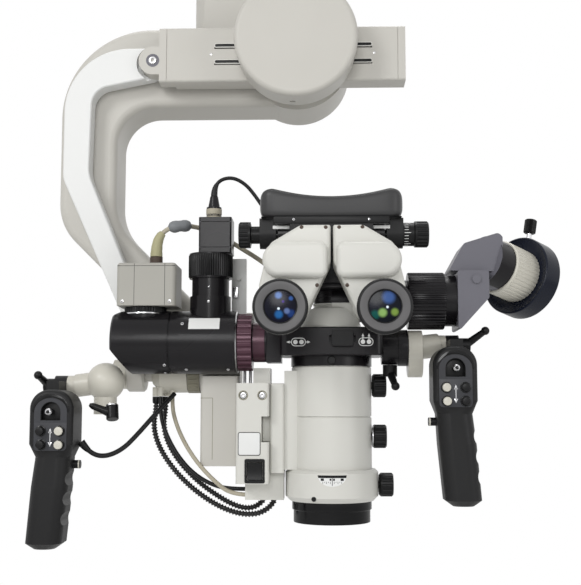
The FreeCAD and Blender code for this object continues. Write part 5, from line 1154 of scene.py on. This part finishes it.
@dataclass
class CameraTrim:
    """Seams, screws and collar of the grey camera box, and the sleeve of the cube camera."""

    face: float = -129.0
    sleeve: Point = (-20.4, PORT_Y, 0.0)

    def build(self) -> None:
        """Makes the pieces of both cameras."""
        seams = Shape()
        for x in (-100.4, -68.6):
            seams.slab((0.5, 43.4, 0.1), (x, -395.7), self.face, *SEAM)
        seams.slab((60.4, 0.5, 0.1), (-88.0, -376.4), self.face, *SEAM)
        seams.piece("camera_seams", "scope", Slot.GREY_RUBBER)
        screw_row([((-112.6, self.face, -413.6), OUT, 1.9), ((-63.4, self.face, -413.6), OUT, 1.9)]).piece(
            "camera_screws", "scope", Slot.FLANGE_METAL)
        collar = Shape().hoop([(6.4, -373.2), (6.75, -373.0), (6.75, -368), (6.75, -364.3), (6.2, -364.02)],
                              (-81.5, PORT_Y, 0.0), UP, 64)
        collar.piece("camera_collar", "scope", Slot.BLACK_PLASTIC, Extra.BROWN_PLASTIC)
        bands = Shape().hoop([(7.9, -323.9), (8.3, -323.8), (8.3, -321.4), (8.0, -321.2), (8.0, -318.9),
                              (8.35, -318.7), (8.35, -313.2), (7.9, -312.9)], self.sleeve, UP, 64)
        bands.piece("cube_sleeve_bands", "scope", Slot.BEIGE_RUBBER)
        seam = Shape().slab((33.0, 0.6, 0.1), (-17.4, -356.0), -121.2, *SEAM)
        seam.slab((33.0, 0.6, 0.1), (-17.4, -329.0), -121.2, *SEAM)
        seam.piece("cube_seams", "scope", Slot.SLATE_PAINT)


@dataclass
class ColumnTrim:
    """Screws, blank plate, rocker frame, guide rods and panel joints on the column's slide block."""

    face: float = -130.0

    def build(self) -> None:
        """Makes every piece that rides on the column."""
        screws, rings = [], Shape()
        for x in (13.6, 33.0):
            screws.append(((x, self.face + 0.6, -510.5), OUT, 3.4))
            rings.hoop([(4.1, -0.1), (5.0, -0.1), (5.0, 0.14), (4.1, 0.14)], (x, self.face, -510.5), OUT, 48)
        screw_row(screws).piece("slide_screws", "column", Slot.FLANGE_METAL)
        rings.piece("slide_screw_rings", "column", Slot.OLIVE_GREY_PLASTIC)
        outer, inner = box_outline(23.0, 23.6, 2.2, (19.9, -559.6)), box_outline(21.6, 22.2, 1.6, (19.9, -559.6))
        Shape().border(outer, inner, (0, self.face, 0), -0.1, 0.34).piece(
            "plate_border", "column", Slot.BLACK_PLASTIC)
        Shape().plate(inner, (0, self.face, 0), -0.1, 0.3, 0.05).piece(
            "blank_plate", "column", Slot.NEAR_WHITE_PAINT)
        outer, inner = box_outline(20.6, 24.4, 1.8, (25.5, -587.0)), box_outline(16.4, 18.6, 1.0, (25.5, -587.0))
        Shape().border(outer, inner, (0, self.face, 0), -2.4, 0.5).piece(
            "rocker_frame", "column", Slot.BLACK_PLASTIC)
        rods = Shape()
        for x in (11.0, 17.0):
            rods.turned([(1.7, 0), (1.7, 26)], (x, -72.0, -498.0), UP, 24)
        rods.piece("guide_rods", "column", Slot.FLANGE_METAL)
        joints = Shape().slab((0.6, 64.0, 0.1), (-21.0, -545.0), -98.0, *SEAM)
        joints.slab((12.6, 0.6, 0.1), (-27.4, -513.0), -98.0, *SEAM)
        joints.piece("column_joints", "column", Slot.OLIVE_GREY_PLASTIC)


@dataclass
class BodyTrim:
    """Scale window and round hole of the white focus housing, and the washer of the aperture knob."""

    axis_at: tuple[float, float] = (SCOPE_X, -90.0)
    radius: float = 48.5
    top: float = -590.6
    half: float = 14.8
    tall: float = 11.2
    columns: int = 17

    def curved(self, across: np.ndarray, height: np.ndarray, rise: float) -> np.ndarray:
        """Puts a flat place on the round housing: (x0 + r sin(a), y0 - r cos(a), z) with a = across / r."""
        reach = self.radius + rise
        turn = across / self.radius
        x, y = self.axis_at[0] + reach * np.sin(turn), self.axis_at[1] - reach * np.cos(turn)
        return np.stack([x, y, height], axis=-1)

    def patch(self, shape: Shape, left: np.ndarray, right: np.ndarray, height: np.ndarray, rise: float) -> Shape:
        """Adds a thin skin on the housing between a left and a right edge, given row by row."""
        share = np.linspace(0, 1, self.columns)[None, :]
        across = left[:, None] * (1 - share) + right[:, None] * share
        rows = np.repeat(height[:, None], self.columns, axis=1)
        return shape.skin(self.curved(across, rows, -0.6), self.curved(across, rows, rise))

    def build(self) -> None:
        """Makes the window with its marks, the hole's lining and the knob washer."""
        edge = np.full(2, 1.0)
        filling = self.patch(Shape(), -16.2 * edge, 16.2 * edge, np.array([-588.4, -602.4]), 0.05)
        filling.piece("window_surround", "scope", Slot.WARM_WHITE_PAINT)
        depth = self.tall * np.sin(np.linspace(0, 0.499, 12) * math.pi)
        wide = self.half * np.sqrt(1 - (depth / self.tall) ** 2)
        ground = self.patch(Shape(), -wide, wide, self.top - depth, 0.14)
        ground.piece("window_ground", "scope", Slot.NEAR_WHITE_PAINT)
        band = np.array([14.8, 14.3])
        marks = self.patch(Shape(), -band, band, self.top - np.array([0.0, 2.6]), 0.2)
        blocks = [(-11.6, -8.4, 3.0, 5.4), (8.4, 11.6, 3.0, 5.4), (-0.3, 0.3, 2.6, 10.4), (-2.6, -0.9, 3.2, 5.2),
                  (0.9, 2.6, 3.2, 5.2)]
        ticks = [(number * 1.9 - 0.2, number * 1.9 + 0.2, 6.2, 8.4 if number % 2 else 7.4) for number in range(-5, 6)]
        for start, end, high, low in blocks + ticks:
            self.patch(marks, start * edge, end * edge, self.top - np.array([high, low]), 0.2)
        marks.piece("window_marks", "scope", Slot.BLACK_PLASTIC)
        hole = Shape().turned([(2.5, 0.0), (2.5, 2.6)], (85.5, -134.6, -614.5), BACK, 24)
        hole.piece("hole_lining", "scope", Slot.BLACK_PLASTIC)
        washer = Shape().hoop([(8.6, 146.52), (11.3, 146.52), (11.3, 147.5), (8.6, 147.5)], (0, -90.0, -553.0),
                              RIGHT, 64)
        washer.piece("knob_washer", "aperture_control", Slot.FLANGE_METAL)


@dataclass
class ScaleDrum:
    """White ticks round the scale drum of the right hinge knob."""

    centre: Point = (178.0, -135.0, -346.0)
    radius: float = 12.0
    count: int = 24

    def build(self) -> None:
        """Sets a ring of short ticks, every fourth one long."""
        ticks = Shape()
        for number in range(self.count):
            angle = 360.0 / self.count * number
            long = 6.4 if number % 4 == 0 else 4.0
            ticks.wrapped((178.6, 178.6 + long), (angle - 1.4, angle + 1.4), (self.centre[1], self.centre[2]),
                          self.radius - 0.2, 0.34)
        ticks.piece("scale_ticks", "distance_knob_right", Slot.NEAR_WHITE_PAINT)


@dataclass
class Handle:
    """Panel, buttons, joystick tip and fittings of one hand grip."""

    side: str
    x: float
    top: float
    face: float = -161.0
    black_side: int = 1
    panel_half: float = 16.4
    button_rows: tuple[float, float] = (-41.0, -54.5)

    def place(self, shape: Shape, name: str, part: str, slot: Slot, extra: Extra | None = None) -> bpy.types.Object:
        """Makes the piece of a shape, with the side behind its own name and its body's."""
        return shape.piece(f"{name}_{self.side}", f"{part}_{self.side}", slot, extra)

    def panel(self) -> None:
        """Blue-grey panel with an arch opening round the joystick."""
        origin = (self.x, self.face, self.top)
        angle = np.radians(np.linspace(0, 180, 13))
        arch = np.stack([10.0 * np.cos(angle), -22.0 + 10.0 * np.sin(angle)], axis=1)
        inner = np.concatenate([[(10.0, -30.6)], arch, [(-10.0, -30.6)]])
        half = self.panel_half
        bow = np.stack([half * np.cos(angle) * np.clip(1.25 - 0.25 * np.sin(angle), 0, 1),
                        -22.0 + 13.6 * np.sin(angle)], axis=1)
        outer = np.concatenate([[(half, -33.0)], bow, [(-half, -33.0)]])
        panel = Shape().border(outer, inner, origin, -0.2, 0.5)
        lower = [(-half, -32.9, 0.2), (-half, -60.5, 4.0), (half, -60.5, 4.0), (half, -32.9, 0.2)]
        panel.plate(rounded_outline(lower), origin, -0.2, 0.5, 0.1)
        self.place(panel, "thumb_panel", "handle", Slot.SLATE_PAINT, Extra.PANEL_GREY)
        brow = np.concatenate([np.stack([18.6 * np.cos(angle), -21.6 + 17.6 * np.sin(angle)], axis=1),
                               np.stack([17.2 * np.cos(angle), -23.0 + 15.4 * np.sin(angle)], axis=1)[::-1]])
        self.place(Shape().plate(brow, origin, -0.3, 0.35, 0.1), "brow_plate", "handle", Slot.BLACK_PLASTIC,
                   Extra.GLOSS_BLACK)
        recess = np.concatenate([[(9.3, -29.9)], arch * (0.93, 1.0), [(-9.3, -29.9)]])
        self.place(Shape().plate(recess, origin, -5.9, -5.3, 0.1), "recess_floor", "handle", Slot.BLACK_PLASTIC)

    def buttons(self) -> None:
        """Two cream and two black caps on black stems, a collar round each, and the double arrow between them."""
        caps = {Slot.CREAM_PLASTIC: Shape(), Slot.BLACK_PLASTIC: Shape()}
        collars = Shape()
        for row, (left, right) in zip(self.button_rows, ((-9.5, 9.5), (-9.0, 9.5))):
            for across in (left, right):
                black = (across > 0) == (self.black_side > 0)
                centre = (self.x + across, self.face, self.top + row)
                caps[Slot.BLACK_PLASTIC].turned([(4.3, -2.0), (4.3, 4.4), (4.0, 4.8)], centre, OUT, 32)
                caps[Slot.BLACK_PLASTIC if black else Slot.CREAM_PLASTIC].turned(
                    [(3.9, 4.6), (4.25, 4.9), (4.25, 6.6), (3.9, 7.2), (3.2, 7.45), (0.03, 7.5)], centre, OUT, 32)
                collars.hoop([(4.6, 0.2), (5.5, 0.2), (5.3, 1.0), (4.6, 1.2)], centre, OUT, 32)
        for slot, shape in caps.items():
            piece = self.place(shape, "thumb_caps_" + slot.value.split("_")[0], "thumb", slot)
            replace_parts(piece, "thumb_buttons_" + self.side)
        self.place(collars, "button_collars", "handle", Slot.BLACK_PLASTIC, Extra.GLOSS_BLACK)
        arrow = Shape()
        origin = (self.x, self.face, self.top - 47.6)
        upper, lower = [(-2.0, 4.6), (2.0, 4.6), (0.0, 9.0)], [(-2.0, -4.6), (0.0, -9.0), (2.0, -4.6)]
        for outline in (box_outline(0.9, 12.0, 0.1), np.array(upper), np.array(lower)):
            arrow.plate(outline, origin, 0.3, 0.75, 0.05)
        self.place(arrow, "double_arrow", "handle", Slot.FLANGE_METAL)

    def joystick(self) -> None:
        """Silver cap on the joystick's tip."""
        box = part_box("joystick_" + self.side)
        tip = (self.x, box[0][1] / MM + 3.6, self.top - 22.0)
        profile = [(3.66, -0.4), (3.66, 0.6), (3.1, 2.0), (2.1, 3.0), (1.0, 3.46), (0.03, 3.58)]
        self.place(Shape().turned(profile, tip, OUT, 32), "joystick_cap", "stick", Slot.FLANGE_METAL)

    def trigger(self) -> None:
        """Cream end of the side button."""
        low, high = (np.asarray(corner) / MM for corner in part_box("side_button_" + self.side))
        out = 1.0 if self.side == "left" else -1.0
        end = high[0] if self.side == "left" else low[0]
        centre = (end - out * 2.2, (low[1] + high[1]) / 2, (low[2] + high[2]) / 2)
        cap = Shape().turned([(4.35, 0.0), (4.35, 1.2), (3.9, 2.0), (0.03, 2.2)], centre, (out, 0.0, 0.0), 32)
        self.place(cap, "side_cap", "trigger", Slot.CREAM_PLASTIC)

    def build(self) -> None:
        """Makes every piece of the handle."""
        self.panel()
        self.buttons()
        self.joystick()
        self.trigger()


@dataclass
class ArmTrim:
    """Clamp under the left elbow, and the rod of the assistant's lock screw."""

    elbow: Point = (-122.0, -124.0, -522.0)
    droop: Point = (0.12, -0.35, -0.93)
    lock_way: Point = (0.172323, 0.144596, 0.97437)
    lock_foot: Point = (320.298, -60.598, -342.625)

    def build(self) -> None:
        """Makes the elbow clamp, and the rod and knurl of the assistant's lock screw."""
        clamp = Shape().turned([(5.6, 0), (6.4, 0.8), (6.4, 13.2), (5.8, 14)], self.elbow, self.droop, 40)
        start = np.asarray(self.elbow) + np.array([0.6, -2.5, -7.0])
        share = np.linspace(0, 1, 9)[:, None]
        path = start + share * np.array([-23.0, -3.0, 9.0])
        clamp.tube(path, np.array([4.6, 4.6, 4.4, 4.1, 3.8, 3.6, 3.6, 3.2, 1.6]), 20)
        clamp.piece("elbow_clamp", "arm_left", Slot.BLACK_PLASTIC)
        washer = Shape().hoop([(5.2, -1.4), (6.6, -1.4), (6.6, 0.2), (5.2, 0.2)], self.elbow, self.droop, 40)
        washer.piece("elbow_washer", "arm_left", Slot.FLANGE_METAL)
        rod = Shape().turned([(2.75, 0.2), (2.75, 8.9)], self.lock_foot, self.lock_way, 28)
        rod.piece("lock_rod", "assistant_lock", Slot.FLANGE_METAL)
        profile = [(5.8, 10.2), (6.3, 10.6), (6.35, 17), (6.3, 24.4), (5.8, 24.8)]
        knurl = Shape().hoop(profile, self.lock_foot, self.lock_way, 144, (36, 0.3), (10.4, 24.6))
        knurl.piece("lock_knurl", "assistant_lock", Slot.BLACK_PLASTIC)


@dataclass
class CouplingTrim:
    """Closely fluted grip of the assistant's coupling."""

    axis_at: Point = (0.0, PORT_Y, -412.0)
    radius: float = 29.5
    flutes: int = 48

    def build(self) -> None:
        """Makes the fluted sleeve and its bare neck as one piece, which stands for the coupling."""
        sleeve = Shape().turned([(27.0, 183.6), (self.radius - 0.6, 183.8), (self.radius, 184.8), (self.radius, 220.6),
                                 (self.radius - 0.6, 221.6), (27.0, 221.8), (26.5, 222.0), (26.5, 233.4)],
                                self.axis_at, RIGHT, self.flutes * 8, (self.flutes, 0.45), (183.7, 221.7))
        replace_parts(sleeve.piece("coupling_grip", "assistant_port", Slot.BLACK_ANODISED), "ribbed_coupling")


@dataclass
class PostTrim:
    """Silver latch on the post behind the tube."""

    def build(self) -> None:
        """Makes the latch."""
        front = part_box("carrier")[0][1] / MM
        Shape().slab((5.6, 12.0, 0.8), (-0.4, -397.6), front, -0.5, 0.0, 0.3).piece(
            "post_latch", "crank", Slot.FLANGE_METAL)


TRIM: tuple = (
    BeamTrim(), SplitterTrim(), Saddle(), PrismTrim(), VideoTubeTrim(), CameraTrim(), ColumnTrim(), BodyTrim(),
    ScaleDrum(), Handle("left", -176.0, -505.0, black_side=-1), Handle("right", 226.0, -462.0), ArmTrim(),
    CouplingTrim(), PostTrim(),
    # the spots of each eyepiece are reflections and white highlights painted into the lens colour
    Eyepiece("left", (55.5, -240.0, -429.5), (0.0015, 0.0022, 0.008), (
        (-1.7, 10.4, 4.0, (0.10, 0.19, 0.45)), (10.0, 7.6, 2.6, (0.03, 0.09, 0.30)),
        (2.7, 4.6, 1.6, (0.04, 0.01, 0.20)), (10.2, -6.6, 4.6, (0.010, 0.035, 0.15)),
        (-1.3, -7.4, 4.8, (0.012, 0.10, 0.30)), (6.2, -4.2, 3.4, (0.10, 0.15, 0.32)),
        (-1.5, -2.0, 1.5, (0.8, 0.9, 1.0)))),
    Eyepiece("right", (152.5, -240.0, -429.5), (0.0012, 0.0030, 0.006), (
        (3.4, 8.4, 7.4, (0.040, 0.09, 0.26)), (-9.3, -8.0, 5.4, (0.002, 0.07, 0.06)),
        (-2.3, -6.0, 5.0, (0.22, 0.38, 0.11)), (9.0, -5.4, 4.4, (0.17, 0.27, 0.05)),
        (2.2, -0.8, 1.5, (0.8, 0.9, 1.0)))),
)


def dressed_nodes() -> list[DressedNode]:
    """Every node that keeps its form, in order, with the width of its edge rounding in metres."""
    edges: dict[str, float] = {
        "mount_flange": 0.0006, "c_arm": 0.0015, "balance_rail": 0.0008, "drum_housing": 0.0010,
        "drum_cover": 0.0015, "parallel_link": 0.0015, "carrier": 0.0015, "tilt_housing": 0.0006,
        "tilt_lock_ring": 0.0003, "tilt_column": 0.0010, "slide_block": 0.0008, "rocker_switch": 0.0006,
        "slide_carriage": 0.0008, "zoom_housing": 0.0008, "focus_housing": 0.0008, "objective_ring": 0.0006,
        "objective_lens": 0.0002, "beam_splitter": 0.0008, "binocular_base": 0.0008, "video_tube": 0.0006,
        "camera_cube": 0.0006, "camera_box": 0.0006, "zoom_knob": 0.0003, "aperture_knob": 0.0003,
        "focus_knob": 0.0003, "splitter_lever": 0.0004, "lock_button": 0.0003, "port_clamp_lever": 0.0003,
        "tilt_saddle": 0.0010, "pd_knob_left": 0.0003, "pd_knob_right": 0.0003, "prism_cover_left": 0.0008,
        "prism_cover_right": 0.0008, "eyepiece_left": 0.0006, "eyepiece_right": 0.0006, "clamp_ring": 0.0004,
        "angled_block": 0.0008, "port_dish": 0.0006, "focus_ring": 0.0003, "lock_screw": 0.0003,
    }
    for side in ("_left", "_right"):
        edges |= {"handle_arm" + side: 0.0015, "grip" + side: 0.0015, "joystick" + side: 0.0006,
                  "side_button" + side: 0.0004, "clamp_lever" + side: 0.0006}
    base_plane, saddle_plane = (SCOPE_X, PORT_Y, -415.2), (SCOPE_X, -135.0, -331.0)
    special: dict[str, dict] = {
        "drum_cover": {"extra": Slot.WARM_GREY_PAINT},
        "objective_ring": {"extra": Extra.GLOSS_BLACK},
        "binocular_base": {"cut": (base_plane, (0.0, 0.0, 1.0)), "mark": "cone"},
        "tilt_saddle": {"cut": (saddle_plane, (0.0, 0.0, 1.0)), "mark": "hinge"},
        "angled_block": {"side": (Slot.BLACK_ANODISED, (0.95, 0.0, -0.3), 0.3)},
    }
    nodes = [DressedNode(node, edge, **special.get(node, {})) for node, edge in edges.items()]
    throat = DressedNode("binocular_base", 0.0006, (base_plane, (0.0, 0.0, -1.0)), "throat", Slot.BLACK_ANODISED)
    nodes.insert(list(edges).index("binocular_base") + 1, throat)
    return nodes


CORDS: tuple[Cord, ...] = (
    Cord("conduit_outer", 3.3, Slot.GREY_RUBBER, 0.237, True, (
        Fitting("conduit_outer_nut", (0.0, 7.0), (4.3, 4.3, 4.3, 3.9), Slot.BLACK_PLASTIC),), Extra.CONDUIT_RUBBER),
    Cord("conduit_inner", 3.3, Slot.GREY_RUBBER, 0.211, True, (
        Fitting("conduit_inner_nut", (0.0, 7.0), (4.3, 4.3, 4.3, 3.9), Slot.BLACK_PLASTIC),), Extra.CONDUIT_RUBBER),
    Cord("lead_black", 2.2, Slot.BLACK_RUBBER, 0.153),
    Cord("lead_beige", 2.2, Slot.BEIGE_RUBBER, 0.148),
    Cord("handle_cable", 2.5, Slot.BLACK_RUBBER, 0.134, False, (
        Fitting("handle_cable_relief", (0.0, 12.0), (4.2, 3.9, 3.6, 3.2, 2.6), Slot.BLACK_PLASTIC),)),
    Cord("camera_cable", 2.0, Slot.BLACK_RUBBER, 0.220, False, (
        Fitting("camera_cable_boot", (0.0, 14.0), (3.6, 3.5, 3.3, 3.0, 2.6, 2.1), Slot.BLACK_RUBBER),)),
    Cord("camera_box_cable", 2.5, Slot.BEIGE_RUBBER, 0.234, False, (
        Fitting("camera_box_boot", (0.0, 27.0), (6.5, 6.4, 6.0, 6.0, 5.5, 5.5, 5.0, 4.6, 3.6), Slot.BEIGE_RUBBER,
                Extra.BOOT_BEIGE),
        Fitting("cable_ferrite", (35.0, 60.0), (2.8, 5.6, 6.4, 6.4, 5.9, 5.9, 6.4, 6.4, 5.6, 2.8), Slot.GREY_RUBBER,
                Extra.FERRITE_GREY),)),
)


def main() -> None:
    """Builds the scene in order and reports each piece."""
    logging.basicConfig(level=logging.INFO, format="%(name)s: %(message)s")
    Studio().build()
    for part in (*CORDS, *dressed_nodes()):
        piece = part.build()
        LOG.info("%s has %d faces", piece.name, len(getattr(piece.data, "polygons", ())))
    for part in TRIM:
        part.build()
        LOG.info("%s is in place", type(part).__name__)
    bpy.context.view_layer.update()


if __name__ == "__main__":
    main()
